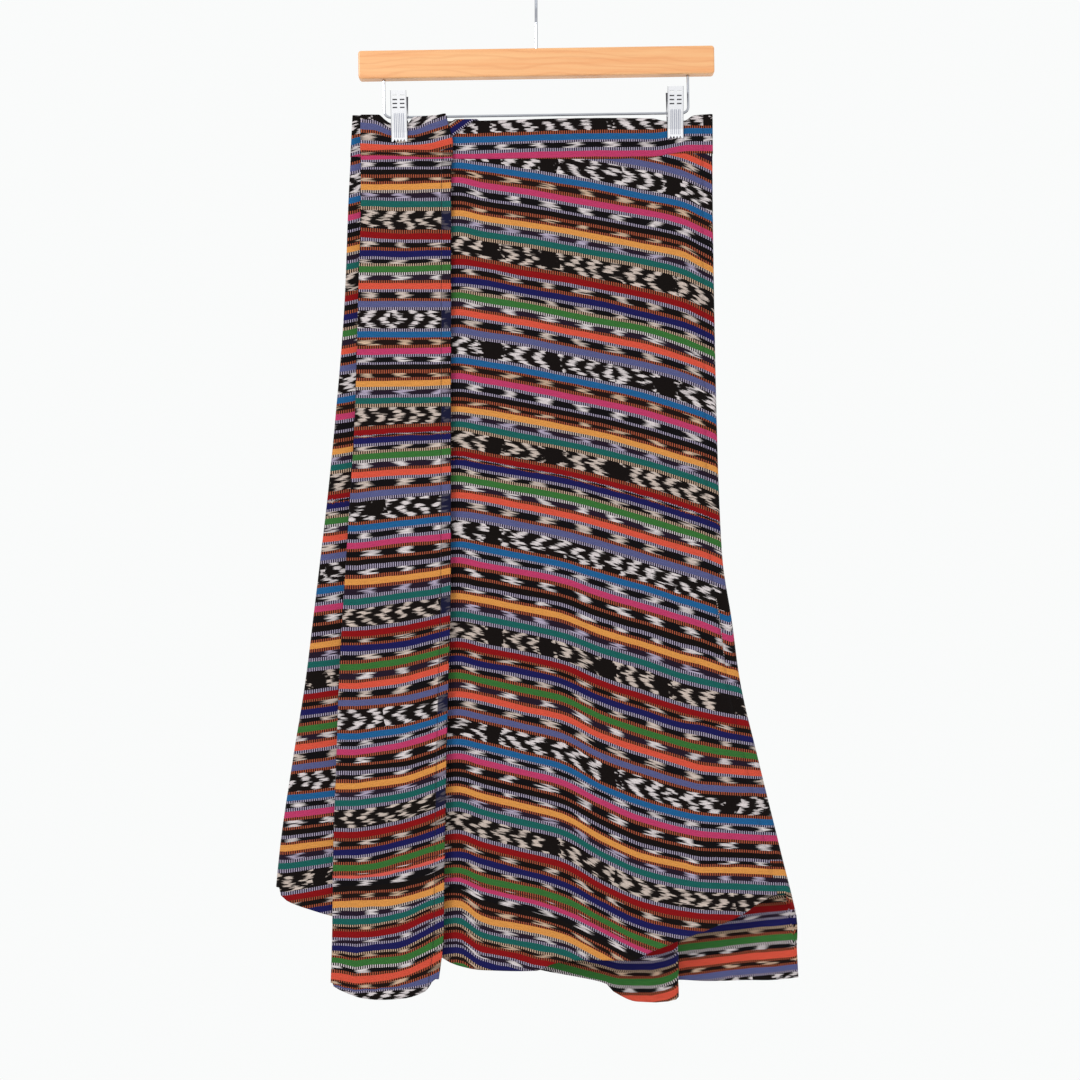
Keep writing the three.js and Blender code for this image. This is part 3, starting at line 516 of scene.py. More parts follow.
def flap_columns(face_count, under_count):
    for inside, back in ((TURNED_HEM, 0.95), (6, 0.85), (3, 0.8), (0.7, 0.75), (0.1, 0.35)):
        yield column(
            lambda z, n=inside: flap_edge(z) - n, flap_hem,
            lambda z, n=inside, b=back: flap_face(flap_edge(z) - n, z) + (0, b, 0),
            lambda z, n=inside: flap_edge(z) + n,
        )
    for n in (0.35, 2, 4, 6, 7.6, 8.6, TURNED_HEM, 10.4, 11.6, PLAIN_FACE):
        yield column(
            lambda z, n=n: flap_edge(z) - n, flap_hem, lambda z, n=n: flap_face(flap_edge(z) - n, z),
        )
    for share in np.linspace(0, 1, face_count)[1:]:
        def read_x(z, s=share):
            inner = flap_edge(z) - PLAIN_FACE
            return inner + (flap_fold(z) + flap_radius(z) - inner) * s
        yield column(read_x, flap_hem, lambda z, f=read_x: flap_face(f(z), z))
    for turn in (0.125, 0.25, 0.375, 0.5, 0.625, 0.75, 0.875):
        def place(z, t=turn):
            r = flap_radius(z)
            x = flap_fold(z) + r * (1 - np.sin(np.pi * t))
            return flap_lay(x, z, turned_under(z) + r * (1 + np.cos(np.pi * t)))
        yield column(
            flap_fold, flap_hem, place,
            lambda z, t=turn: flap_fold(z) + flap_radius(z) * (1 - np.pi * t),
        )
    for share in np.linspace(0, 1, under_count):
        def read_x(z, s=share):
            start = flap_fold(z) + flap_radius(z)
            return start + (flap_edge(z) - PLAIN_FACE - start) * s
        yield column(
            read_x, lambda x, s=share: flap_hem(x) + 9 * s,
            lambda z, f=read_x: flap_lay(f(z), z, turned_under(z)),
            lambda z, f=read_x: 2 * flap_fold(z) + flap_radius(z) * (2 - np.pi) - f(z),
            tuck=3 * smooth(0, 0.3, share),
        )


def meet(col, edge, guess):
    """Height at which a slanting column meets an edge that runs across the width."""
    z = np.float64(guess)
    for _ in range(8):
        z = edge(col["x"](z))
    return float(z)


# ---------------------------------------------------------------- meshes


def link(obj):
    bpy.context.scene.collection.objects.link(obj)


def new_object(name, vertices, faces, material, maps=None, soft=True):
    mesh = bpy.data.meshes.new(name)
    mesh.from_pydata([tuple(v) for v in np.asarray(vertices) * MM], [], faces)
    mesh.update()
    loops = np.zeros(len(mesh.loops), np.int32)
    mesh.loops.foreach_get("vertex_index", loops)
    for title, uv in (maps or {}).items():
        layer = mesh.uv_layers.new(name=title)
        layer.data.foreach_set("uv", np.asarray(uv, np.float32).reshape(-1, 2)[loops].ravel())
    mesh.polygons.foreach_set("use_smooth", [soft] * len(mesh.polygons))
    mesh.materials.append(material)
    obj = bpy.data.objects.new(name, mesh)
    link(obj)
    return obj


def grid_faces(columns, lines):
    i, j = np.meshgrid(np.arange(columns - 1), np.arange(lines - 1), indexing="ij")
    a = (i * lines + j).ravel()
    return np.stack([a, a + 1, a + lines + 1, a + lines], 1).tolist()


def grid_normals(grid):
    along = np.gradient(grid, axis=0)
    down = np.gradient(grid, axis=1)
    n = np.cross(along, down)
    return n / np.maximum(np.linalg.norm(n, axis=-1, keepdims=True), 1e-9)


def shell(name, grid, uv, thickness, material, inside=None):
    """A thin closed shell round a grid of mid-surface points. inside is how far each point lies
    from the flap's free edge."""
    maps = {"weave": uv}
    if inside is not None:
        maps["edge"] = np.stack([inside, grid[..., 2]], -1)
    obj = new_object(name, grid.reshape(-1, 3), grid_faces(*grid.shape[:2]), material, maps)
    solid = obj.modifiers.new("ply", "SOLIDIFY")
    solid.thickness, solid.offset, solid.use_even_offset = thickness * MM, 0, False
    return obj


# beside the drawn side seam, the back's stripes step down between these pixel rows
STEP_DOWN, STEP_STARTS, STEP_ENDS = 3, (585, 600), (672, 655)
FRONT_ENDS = (906, 884)  # and here the fold goes over to the back's own stripes
# chart places between which the stripes beside the seam sit a little off the front's
SEAM_SHIFTS = ((2.5, 787, 797), (-1.5, 806, 816))


def weave_uv(columns, grid, chart):
    """Along and chart places of a grid of cloth points."""
    uv = np.zeros(grid.shape[:2] + (2,))
    for i, col in enumerate(columns):
        p = grid[i]
        px, py = photo_place(p, None if col["flat"] is None else col["flat"](p[:, 2]))
        uv[i, :, 0], uv[i, :, 1] = px, chart(px, py)
        if chart is back_chart and col["front"] > 0:
            seen_x, seen_y = photo_place(p)
            lower = STEP_DOWN * smooth(*STEP_STARTS, seen_y) * smooth(*STEP_ENDS, seen_y)
            share = col["front"] * (smooth(*FRONT_ENDS, seen_y) if col["front"] < 1 else 1)
            beside = front_chart(seen_x, seen_y - lower)
            beside = sum((d * smooth(low, high, beside) for d, low, high in SEAM_SHIFTS), beside)
            uv[i, :, 1] += share * (beside - uv[i, :, 1])
    return uv


def bulge(height, middle, half, at):
    """A rounded ridge, or a groove where its height is negative."""
    return height * np.exp(-(((at - middle) / half) ** 2))


def laid(columns, tops, lows, lines):
    """Grid of cloth points between the upper and lower ends of each column."""
    return np.array([c["place"](np.linspace(t, b, lines)) for c, t, b in zip(columns, tops, lows)])


TUCKED = 2.0  # how far a panel's top runs up inside its band
PUCKER_HEIGHT, PUCKER_REACH = 0.16, 14


def panel(name, columns, seam, chart, lines, material):
    tops = [meet(c, seam, WAIST_Z) + TUCKED for c in columns]
    lows = [meet(c, c["hem"], LOWEST_Z) for c in columns]
    grid = laid(columns, tops, lows, lines)
    uv = weave_uv(columns, grid, chart)
    if chart is back_chart:  # the pleat's cloth is longer than its place across the skirt
        run = np.cumsum(np.hypot(*np.moveaxis(np.diff(grid[..., :2], axis=0), -1, 0)), axis=0)
        uv[:, :, 0] = photo_place(grid[0])[0]
        uv[1:, :, 0] += run / PHOTO_MM
    # the join between two loom widths makes a low ridge that follows its stripe
    normals = grid_normals(grid)
    if chart is not back_chart:
        off = uv[..., 1] - (BORDER_START + 2)
        grid = grid + normals * (bulge(0.55, 0, 2.2, off) + bulge(-0.4, -4, 1.8, off))[..., None]
    # just below the band the cloth is drawn up in small uneven puckers
    below = grid[:, :1, 2] - grid[..., 2]
    x = uv[..., 0]
    pucker = (np.sin(x / 3.7 + 1.3 * np.sin(x / 17)) + 0.6 * np.sin(x / 2.3 + 2 * np.sin(x / 29)))
    pucker = PUCKER_HEIGHT * pucker * np.exp(-below / PUCKER_REACH) * smooth(-1, 5, below)
    grid = grid + normals * pucker[..., None]
    inside = flap_edge(grid[..., 2]) - grid[..., 0] if chart is flap_chart else None
    return shell(name, grid, uv, PANEL_THICKNESS, material, inside)


TOP_ROUND = 0.4  # how far a band's plies end below its rounded top edge
INNER_SHIFT = 9  # the inner ply's spots lie this far along from the outer ply's


def band(name, columns, edge, seam, chart, lines, material):
    """A band folded double: up the outside, over the top edge and down the inside."""
    tops = [meet(c, edge, WAIST_Z) - c["tuck"] - TOP_ROUND for c in columns]
    lows = [meet(c, seam, WAIST_Z) for c in columns]
    mid = laid(columns, tops, lows, lines)
    uv_mid = weave_uv(columns, mid, chart)
    n = grid_normals(mid)
    x = uv_mid[..., 0]
    height = mid[..., 2] - mid[:, -1:, 2]
    # the seam pulls the lower edge in, and the cloth beside it puffs a little
    puff = bulge(0.25, 4, 3, height) + bulge(-0.25, 0, 1.2, height)
    puff = puff + 0.1 * np.sin(x / 4.1 + 1.7 * np.sin(x / 23)) * np.exp(-height / 9)
    rows, uvs = [], []
    for j in range(lines - 1, -1, -1):
        rows.append(mid[:, j] + n[:, j] * (BAND_PLY_OFFSET + puff[:, j])[:, None])
        uvs.append(uv_mid[:, j])
    top, top_n = mid[:, 0], n[:, 0]
    for angle in (45, 90, 135):
        a = math.radians(angle)
        up = np.array([0, 0, BAND_PLY_OFFSET * math.sin(a)])
        rows.append(top + top_n * BAND_PLY_OFFSET * math.cos(a) + up)
        uvs.append(uv_mid[:, 0] + (0, -0.3 * angle / 45))
    for j in range(lines):
        rows.append(mid[:, j] - n[:, j] * BAND_PLY_OFFSET)
        uvs.append(uv_mid[:, j] + (INNER_SHIFT, 0))
    return shell(name, np.stack(rows, 1)[:, ::-1], np.stack(uvs, 1)[:, ::-1], BAND_PLY, material)


TIE = {"start": (-88, -171.0), "slope": math.radians(35), "length": 52, "width": 13, "tip": 9,
       "plump": 0.35, "clear": 0.5, "thickness": 0.9, "chart": 57.5, "chart_half": 7.5}


def tie(name, material):
    """The strap: up the front of the band, over its top edge and down inside."""
    radius = BAND_PLY_OFFSET + BAND_PLY / 2 + TIE["plump"] + TIE["clear"]
    along = np.array([math.cos(TIE["slope"]), math.sin(TIE["slope"])])
    across = np.array([-along[1], along[0]])
    grid, uv = [], []
    for share in np.linspace(0, 1, 60):
        half = (TIE["width"] + (TIE["tip"] - TIE["width"]) * share) / 2
        line, place = [], []
        for side in np.linspace(1, -1, 15):
            fx, fz = np.array(TIE["start"]) + along * TIE["length"] * share + across * half * side
            edge = float(body_top(fx))
            beyond = fz - edge
            middle = -float(front_depth(np.float64(fx), np.float64(min(fz, edge))))
            plump = TIE["plump"] * math.cos(side * math.pi / 2)
            if beyond <= 0:
                p = (fx, middle - radius - plump, fz)
            elif beyond / radius < math.pi:
                t = beyond / radius
                p = (fx, middle - (radius + plump) * math.cos(t), edge + radius * math.sin(t))
            else:
                low = edge - (beyond - math.pi * radius)
                p = (fx, -float(front_depth(np.float64(fx), np.float64(low))) + radius, low)
            line.append(p)
            place.append((share * TIE["length"], TIE["chart"] + TIE["chart_half"] * (1 - side)))
        grid.append(line)
        uv.append(place)
    return shell(name, np.array(grid), np.array(uv), TIE["thickness"], material)


def stitches(name, places, normals, length, gap, thickness, material):
    """A run of separate thread stitches lying along a line of points."""
    steps = np.linalg.norm(np.diff(places, axis=0), axis=1)
    run = np.concatenate([[0], np.cumsum(steps)])

    def on(line, at):
        return np.array([np.interp(at, run, line[:, k]) for k in range(3)])

    vertices, faces = [], []
    profile = [(0.0, 0.25), (0.12, 0.8), (0.5, 1.0), (0.88, 0.8), (1.0, 0.25)]
    sides, s, count = 6, gap, 0
    while s + length < run[-1]:
        tilt = 0.12 * math.sin(count * 2.3)
        base = len(vertices)
        for share, swell in profile:
            at = s + share * length
            p, n = on(places, at), on(normals, at)
            ahead = on(places, at + 1) - p
            ahead /= max(np.linalg.norm(ahead), 1e-9)
            side = np.cross(n, ahead)
            p = p + side * tilt * (share - 0.5) + n * thickness * (0.6 * math.sin(math.pi * share) - 0.15)
            for k in range(sides):
                a = 2 * math.pi * k / sides
                vertices.append(p + thickness / 2 * swell * (side * math.cos(a) + n * math.sin(a)))
        for ring in range(len(profile) - 1):
            for k in range(sides):
                a = base + ring * sides + k
                b = base + ring * sides + (k + 1) % sides
                faces.append((a, b, b + sides, a + sides))
        faces.append(tuple(base + k for k in range(sides))[::-1])
        faces.append(tuple(base + (len(profile) - 1) * sides + k for k in range(sides)))
        s += length + gap
        count += 1
    return new_object(name, np.array(vertices), faces, material)


# ---------------------------------------------------------------- materials


DYE = 0.66  # the lamps are brighter than the paper white of the picture


def linear(rgb, scale=DYE):
    channels = [c / 255 for c in rgb]
    out = [c / 12.92 if c <= 0.04045 else ((c + 0.055) / 1.055) ** 2.4 for c in channels]
    return tuple(min(1.0, c * scale) for c in out)


def dye(rgb, scale=DYE):
    return (*linear(rgb, scale), 1)


YARN = {
    "yellow": (230, 156, 78), "teal": (26, 99, 92), "red": (144, 14, 18), "navy": (26, 26, 88),
    "green": (58, 116, 54), "orange": (226, 88, 66), "violet": (92, 96, 142),
    "sky": (32, 99, 152), "pink": (198, 62, 108), "black": (17, 10, 8),
    "white": (238, 228, 228), "cream": (224, 206, 194), "tan": (224, 192, 164),
    "lilac": (194, 182, 206), "rust": (192, 100, 68), "maroon": (38, 9, 11),
    "plum": (36, 23, 40), "ink": (18, 15, 38), "coal": (11, 8, 11), "umber": (30, 15, 11),
    "salmon": (228, 96, 84),
}
SOLID, TICK, JASPE, IKAT = 0.0, 0.25, 0.5, 0.75

# One repeat of the weaver's sequence from the middle of yellow: width, kind, ground, second yarn
SEQUENCE = [
    (3, SOLID, "yellow", None), (3, TICK, "ink", "cream"), (5, JASPE, "plum", "lilac"),
    (3, TICK, "ink", "lilac"), (6, SOLID, "teal", None), (3.5, TICK, "umber", "tan"),
    (19, IKAT, "black", "cream"), (3.5, TICK, "maroon", "rust"), (6.5, SOLID, "red", None),
    (3, TICK, "plum", "lilac"), (5, JASPE, "black", "cream"), (3, TICK, "maroon", "rust"),
    (6, SOLID, "navy", None), (3, TICK, "ink", "lilac"), (4.5, JASPE, "coal", "cream"),
    (3, TICK, "umber", "tan"), (6, SOLID, "green", None), (3, TICK, "coal", "white"),
    (6, JASPE, "plum", "white"), (3, TICK, "maroon", "rust"), (6, SOLID, "orange", None),
    (3, TICK, "plum", "lilac"), (7, JASPE, "coal", "cream"), (3, TICK, "maroon", "rust"),
    (6, SOLID, "violet", None), (3, TICK, "ink", "lilac"), (19, IKAT, "black", "white"),
    (3, TICK, "ink", "lilac"), (6, SOLID, "sky", None), (3, TICK, "maroon", "rust"),
    (5.5, JASPE, "umber", "tan"), (3.5, TICK, "maroon", "rust"), (6, SOLID, "pink", None),
    (3, TICK, "plum", "lilac"), (6, JASPE, "coal", "white"), (2.5, TICK, "ink", "lilac"),
    (5, SOLID, "black", None), (3, TICK, "maroon", "rust"), (3, JASPE, "umber", "tan"),
    (2.5, TICK, "maroon", "rust"), (3, SOLID, "yellow", None),
]
# Lower down the skirt the rows of ticks change places.
LOWER_TICKS = {
    "before": {"sky": "rust", "pink": "lilac", "black": "rust", "yellow": "rust", "teal": "lilac",
               "red": "lilac", "navy": "rust", "green": "rust", "orange": "rust", "violet": "rust"},
    "after": {"sky": "lilac", "pink": "rust", "black": "lilac", "yellow": "rust", "teal": "lilac",
              "red": "rust", "navy": "lilac", "green": "rust", "orange": "lilac", "violet": "rust"},
}
LOWER_START = 540.0


def lower_sequence():
    """The sequence with the lower rows of ticks beside each solid stripe, and darker jaspe."""
    made = [list(stripe) for stripe in SEQUENCE]
    for i, (_, kind, name, _) in enumerate(SEQUENCE):
        if kind != SOLID:
            continue
        for step, side in ((-1, "before"), (1, "after")):
            if 0 <= i + step < len(made) and made[i + step][1] == TICK:
                light = LOWER_TICKS[side][name]
                made[i + step][2:] = ["maroon" if light == "rust" else "ink", light]
    swap = {"umber": "coal", "tan": "white"}
    for stripe in made:
        if stripe[1] == JASPE:
            stripe[2:] = [swap.get(stripe[2], stripe[2]), swap.get(stripe[3], stripe[3])]
    return made


LOWER_SEQUENCE = lower_sequence()

# The lower border, from the join between the two loom widths down
BORDER = [
    (2, TICK, "maroon", "rust"), (4.5, SOLID, "seam", None), (2.5, TICK, "plum", "lilac"),
    (6, JASPE, "coal", "white"), (6, SOLID, "black", None), (2.5, TICK, "maroon", "rust"),
    (4.5, JASPE, "umber", "tan"), (2.5, TICK, "maroon", "rust"), (6.5, SOLID, "yellow", None),
    (2.5, TICK, "ink", "cream"), (4, JASPE, "plum", "white"), (2.5, TICK, "ink", "lilac"),
    (6, SOLID, "teal", None), (2.2, TICK, "umber", "tan"), (2.6, JASPE, "umber", "tan"),
    (2.2, TICK, "maroon", "rust"), (6, SOLID, "red", None), (2.7, TICK, "plum", "lilac"),
    (3.1, JASPE, "plum", "white"), (2.7, TICK, "ink", "lilac"), (6.5, SOLID, "navy", None),
    (2.8, TICK, "umber", "tan"), (3.9, JASPE, "umber", "tan"), (2.8, TICK, "maroon", "rust"),
    (6.5, SOLID, "green", None), (2.4, TICK, "coal", "white"), (2.4, JASPE, "coal", "white"),
    (2.2, TICK, "maroon", "rust"), (6.5, SOLID, "orange", None), (2.6, TICK, "maroon", "rust"),
    (3.3, JASPE, "umber", "tan"), (2.6, TICK, "maroon", "rust"), (5.5, SOLID, "violet", None),
    (2.5, TICK, "ink", "lilac"), (59, IKAT, "black", "white"),
]


def operator(name, swapped=False):
    def joined(value, other):
        return value.graph.math(name, *((other, value) if swapped else (value, other)))
    return joined


class Value:
    """A number in a node tree, so that sums of nodes are written as sums."""

    __add__, __radd__ = operator("ADD"), operator("ADD", True)
    __sub__, __rsub__ = operator("SUBTRACT"), operator("SUBTRACT", True)
    __mul__, __rmul__ = operator("MULTIPLY"), operator("MULTIPLY", True)
    __truediv__, __gt__ = operator("DIVIDE"), operator("GREATER_THAN")

    def __init__(self, graph, socket):
        self.graph, self.socket = graph, socket

    def __abs__(self):
        return self.graph.math("ABSOLUTE", self)

    def __floor__(self):
        return self.graph.math("FLOOR", self)


RAMP_STOPS = 30  # a colour ramp holds no more than 32


class Graph:
    """Short names for building a node tree."""

    def __init__(self, owner):
        owner.use_nodes = True
        self.owner, self.tree = owner, owner.node_tree
        self.shader = self.tree.nodes.get("Principled BSDF")

    def node(self, kind, fed=None, **values):
        """A node with its attributes set and its sockets fed."""
        made = self.tree.nodes.new("ShaderNode" + kind)
        for key, value in values.items():
            setattr(made, key, value)
        for socket, value in (fed or {}).items():
            self.feed(made.inputs[socket], value)
        return made

    def feed(self, socket, value):
        if isinstance(value, Value):
            value = value.socket
        if isinstance(value, bpy.types.NodeSocket):
            self.tree.links.new(value, socket)
        else:
            socket.default_value = value

    def look(self, values):
        """Feeds the shader's named sockets."""
        for socket, value in values.items():
            self.feed(self.shader.inputs[socket], value)
        return self.owner

    def math(self, operation, *values, clamp=False):
        made = self.node("Math", dict(enumerate(values)), operation=operation, use_clamp=clamp)
        return Value(self, made.outputs[0])

    def mix(self, share, a, b, blend="MIX"):
        made = self.node("Mix", {6: a, 7: b}, data_type="RGBA", blend_type=blend)
        self.feed(made.inputs["Factor"], share)
        return made.outputs[2]

    def noise(self, vector, scale, detail=2.0, roughness=0.5):
        fed = {"Vector": vector, "Scale": scale, "Detail": detail, "Roughness": roughness}
        return Value(self, self.node("TexNoise", fed, noise_dimensions="3D").outputs["Fac"])

    def vector(self, x, y):
        return self.node("CombineXYZ", {0: x, 1: y}).outputs[0]

    def split(self, vector, kind="SeparateXYZ"):
        return [Value(self, out) for out in self.node(kind, {0: vector}).outputs]

    def place(self, kind="Object"):
        return self.node("TexCoord").outputs[kind]

    def ramp(self, place, stops):
        made = self.node("ValToRGB", {0: place})
        made.color_ramp.interpolation = "CONSTANT"
        elements = made.color_ramp.elements
        while len(elements) > 1:
            elements.remove(elements[-1])
        for i, (at, colour) in enumerate(stops):
            element = elements[0] if i == 0 else elements.new(at)
            element.position, element.color = at, colour
        return made.outputs[0], Value(self, made.outputs[1])

    def step(self, low, high, value):
        """0 below low, 1 above high and smooth between."""
        fed = {"Value": value, "From Min": low, "From Max": high}
        return Value(self, self.node("MapRange", fed, interpolation_type="SMOOTHSTEP").outputs["Result"])

    def chance(self, x, y):
        """Three random numbers that stay the same over a cell."""
        made = self.node("TexWhiteNoise", noise_dimensions="2D")
        self.feed(made.inputs["Vector"], self.vector(x, y))
        return self.split(made.outputs["Color"], "SeparateColor")

    def fade(self, value, edge, soft):
        """1 well below the edge, 0 well above it."""
        return self.math("ADD", 0.5, (edge - value) / (2.0 * soft), clamp=True)

    def either(self, switch, off, on):
        """off where the switch is 0, on where it is 1."""
        return off * (1.0 - switch) + on * switch

    def bump(self, height, strength, distance):
        fed = {"Strength": strength, "Distance": distance, "Height": height}
        return self.node("Bump", fed).outputs[0]

    def lookup(self, place, stripes, which, yarn):
        """Colour and kind at a place in a list of stripes. One ramp holds RAMP_STOPS of them."""
        starts = np.concatenate([[0], np.cumsum([s[0] for s in stripes])])
        colour = kind = None
        for first in range(0, len(stripes), RAMP_STOPS):
            part = stripes[first:first + RAMP_STOPS]
            low, high = float(starts[first]), float(starts[first + len(part)])
            stops = []
            for at, stripe in zip(starts[first:], part):
                shade = linear(yarn[stripe[which] or stripe[2]])
                stops.append(((at - low) / (high - low), (*shade, stripe[1])))
            part_colour, part_kind = self.ramp((place - low) / (high - low), stops)
            if colour is None:
                colour, kind = part_colour, part_kind
            else:
                past = place > low
                colour = self.mix(past, colour, part_colour)
                kind = self.either(past, kind, part_kind)
        return colour, kind


TICK_PERIOD = 2.25
JASPE_PERIOD = 36.0
# ikat: width of one tied block and of a group of them, height and rows of a band, and where the
# bands start in the repeat and in the border
IKAT_PERIOD, IKAT_GROUP = 19.0, 58.0
IKAT_HEIGHT, IKAT_ROWS = 19.0, 5.0
IKAT_STARTS, IKAT_BETWEEN, BORDER_IKAT_START = (23.5, 126.0), 100.0, 126.0
IKAT_LEAN = -4.0  # how far each row of an arrow stands back from the next
# both kinds of tied spot: jitter from pick to pick, feathering, half length and its spread
JASPE_JITTER, JASPE_FEATHER, JASPE_HALF, JASPE_SPREAD = 9.0, 9.0, 3.0, 4.0
IKAT_JITTER, IKAT_FEATHER, IKAT_HALF, IKAT_SPREAD = 6.0, 8.0, 3.0, 1.1
PICKS, FINE_PICKS = 0.66, 0.8  # rows of yarn for each millimetre
CREASED_CHART = (840.0, 910.0)  # here the cloth is creased most
END_PITCH, PICK_PITCH = 0.75, 0.9
# darker pattern in the flap's turned hem, and painted shade along its stitched groove
DARK_HEM, HEM_GROOVE_SHADE = (30, 34, 76), (14, 10, 14)


def cotton(name, border_start, border_skip, seam_yarn, turned_hem=False):
    """Hand-loom cotton: solid stripes, rows of ticks, blurred jaspe and ikat bands."""
    g = Graph(bpy.data.materials.new(name))
    yarn = dict(YARN, seam=YARN[seam_yarn])
    u, v, _ = g.split(g.node("UVMap", uv_map="weave").outputs[0])

    def grain(along, across, detail=2.0, roughness=0.5):
        return g.noise(g.vector(u * along, v * across), 1.0, detail, roughness)

    def fract(value):
        return g.math("FRACT", value)

    def spot_reach(centre, spot, jitter, feather):
        """Distance from the middle of a tied spot, shifted pick by pick and feathered."""
        return abs(centre + (spot - 0.5) * jitter) + (fibre - 0.5) * feather

    # the yarns wander a little, so no stripe has a ruled edge, and more where the cloth is creased
    wander, sway = grain(0.05, 0.12), grain(0.022, 0.03)
    swayed = 1.4 + g.step(*CREASED_CHART, v) * 4.6
    v = v + (wander - 0.5) + (sway - 0.5) * swayed
    fibre = grain(0.22, 1.3, 3.0, 0.6)

    in_repeat = g.math("WRAP", v, REPEAT, 0.0)
    in_border = v - border_start + border_skip
    is_border, is_lower = v > border_start, v > LOWER_START
    yarns = []
    for which in (2, 3):
        upper, kind = g.lookup(in_repeat, SEQUENCE, which, yarn)
        lower, _ = g.lookup(in_repeat, LOWER_SEQUENCE, which, yarn)
        border, border_kind = g.lookup(in_border, BORDER, which, yarn)
        yarns.append(g.mix(is_border, g.mix(is_lower, upper, lower), border))
    kind = g.either(is_border, kind, border_kind)
    is_tick, is_jaspe, is_ikat = (g.math("COMPARE", kind, code, 0.1) for code in (TICK, JASPE, IKAT))

    # ticks: alternate threads of two yarns
    tick = g.step(0.0, 0.65, g.math("SINE", u * (2 * math.pi / TICK_PERIOD) + fibre * 1.6))

    # jaspe: tied yarns give blobs whose ends are feathered thread by thread
    drift = grain(0.012, 0.02) * 26.0
    tied = (u + drift) / JASPE_PERIOD
    spot = g.chance(math.floor(v * FINE_PICKS), math.floor(tied))
    reach = spot_reach((fract(tied) - 0.5) * JASPE_PERIOD, spot[0], JASPE_JITTER, JASPE_FEATHER)
    jaspe = g.fade(reach, JASPE_HALF + spot[1] * JASPE_SPREAD, 2.5) * (0.68 + spot[2] * 0.32)

    # ikat: rows of tied blocks set out as arrows, in groups with plain ground between
    bands = [(in_repeat - at) / IKAT_HEIGHT for at in IKAT_STARTS]
    local = g.either(is_border, g.either(in_repeat > IKAT_BETWEEN, *bands),
                     (in_border - BORDER_IKAT_START) / IKAT_HEIGHT)
    row = local * IKAT_ROWS + (wander - 0.5) * 0.8
    line = math.floor(row)
    from_row = abs(fract(row) * 2.0 - 1.0)
    which = math.floor(v / 60.0)
    group = (u + drift * 1.5) / IKAT_GROUP
    side = g.chance(math.floor(group), which)
    lean = abs(line + 0.5 - IKAT_ROWS / 2) * IKAT_LEAN * ((side[0] > 0.35) * 2.0 - 1.0)
    tied = (u + lean + drift * 0.7) / IKAT_PERIOD
    block = g.chance(line, math.floor(tied) + which * 7.0)
    spot = g.chance(math.floor(v * PICKS), math.floor(tied) + 0.5)
    centre = (fract(tied) - 0.5) * IKAT_PERIOD + (block[2] - 0.5) * 2.0
    reach = spot_reach(centre, spot[0], IKAT_JITTER, IKAT_FEATHER)
    slim = (0.45 if turned_hem else 0.1) + side[2] * 0.45
    half = (IKAT_HALF + (block[0] + spot[1]) * IKAT_SPREAD) * (1.0 - from_row * from_row * slim)
    here = (block[1] > 0.04) * g.step(0.02, 0.14, spot[2])
    across = fract(group) + (spot[0] - 0.5) * 0.1
    plain = g.step(0.67, 0.69, across) * g.fade(across, 0.97, 0.01)
    shown = 1.0 - plain * (side[1] > (0.8 if turned_hem else 0.38))
    ikat = g.fade(reach, half, 1.2) * here * shown * (0.76 + spot[1] * 0.24)

    tied_share = is_jaspe * jaspe + is_ikat * ikat
    if turned_hem:  # the tied yarns' pale spots stop short of the flap's turned hem
        inside = g.split(g.node("UVMap", uv_map="edge").outputs[0])[0]
        hem = g.fade(inside + wander, TURNED_HEM + 0.3, 0.4)
        # painted shade in the groove along the topstitching
        groove_shade = g.fade(abs(inside - TURNED_HEM), 0.5, 0.3)
        tied_share = tied_share * (1.0 - hem * (0.45 + is_ikat * 0.35))
    colour = g.mix(g.math("ADD", is_tick * tick, tied_share, clamp=True), *yarns)
    if turned_hem:
        colour = g.mix(hem * (is_ikat * 0.5), colour, dye(DARK_HEM))
        # painted shade along the stitched groove
        colour = g.mix(groove_shade * 0.42, colour, dye(HEM_GROOVE_SHADE))

    # uneven dye along the yarns and the small shadows between them
    shade = 0.18 + (grain(0.09, 2.2, 3.0, 0.65) * 0.72 + grain(0.75, 0.9, 2.0, 0.6) * 0.92)
    grey = g.node("CombineColor", {0: shade, 1: shade, 2: shade}).outputs[0]

    # ribs of the weave: ends along, picks across, and slubs
    ends = g.math("SINE", u * (2 * math.pi / END_PITCH))
    picks = g.math("SINE", v * (2 * math.pi / PICK_PITCH))
    return g.look({
        "Base Color": g.mix(1.0, colour, grey, "MULTIPLY"), "Roughness": 0.9,
        "Specular IOR Level": 0.08, "Sheen Weight": 0.03, "Sheen Roughness": 0.5,
        "Normal": g.bump(ends * 0.3 + picks * 0.5 + fibre * 1.6, 0.55, 0.00022),
    })


BEECH = {"pale": (255, 196, 135), "deep": (248, 173, 111), "ring": (226, 145, 87),
         "fleck": (206, 129, 76)}
BEECH_DYE = 0.73


def beech():
    g = Graph(bpy.data.materials.new("beech_satin"))
    place = g.place()

    def stretched(scale, detail, roughness=0.5):
        vector = g.node("Mapping", {"Vector": place, "Scale": scale}).outputs[0]
        return g.noise(vector, 1.0, detail, roughness)

    grain, flecks = stretched((5, 160, 160), 5.0, 0.62), stretched((26, 900, 900), 2.0)
    # the year rings run out along the bar as long thin lines
    x, _, z = g.split(place)
    ring = g.math("SINE", z * 900.0 + g.noise(g.vector(x * 7.0, z * 26.0), 1.0) * 34.0)
    shade = {name: dye(rgb, BEECH_DYE) for name, rgb in BEECH.items()}
    colour = g.mix(g.step(0.3, 0.72, grain), shade["pale"], shade["deep"])
    colour = g.mix(g.step(0.45, 1.0, ring) * 0.24, colour, shade["ring"])
    colour = g.mix(g.step(0.62, 0.8, flecks) * 0.4, colour, shade["fleck"])
    return g.look({
        "Base Color": colour, "Roughness": 0.34 + grain * 0.2, "Coat Weight": 0.25,
        "Coat Roughness": 0.25, "Normal": g.bump(flecks, 0.25, 0.0002),
    })
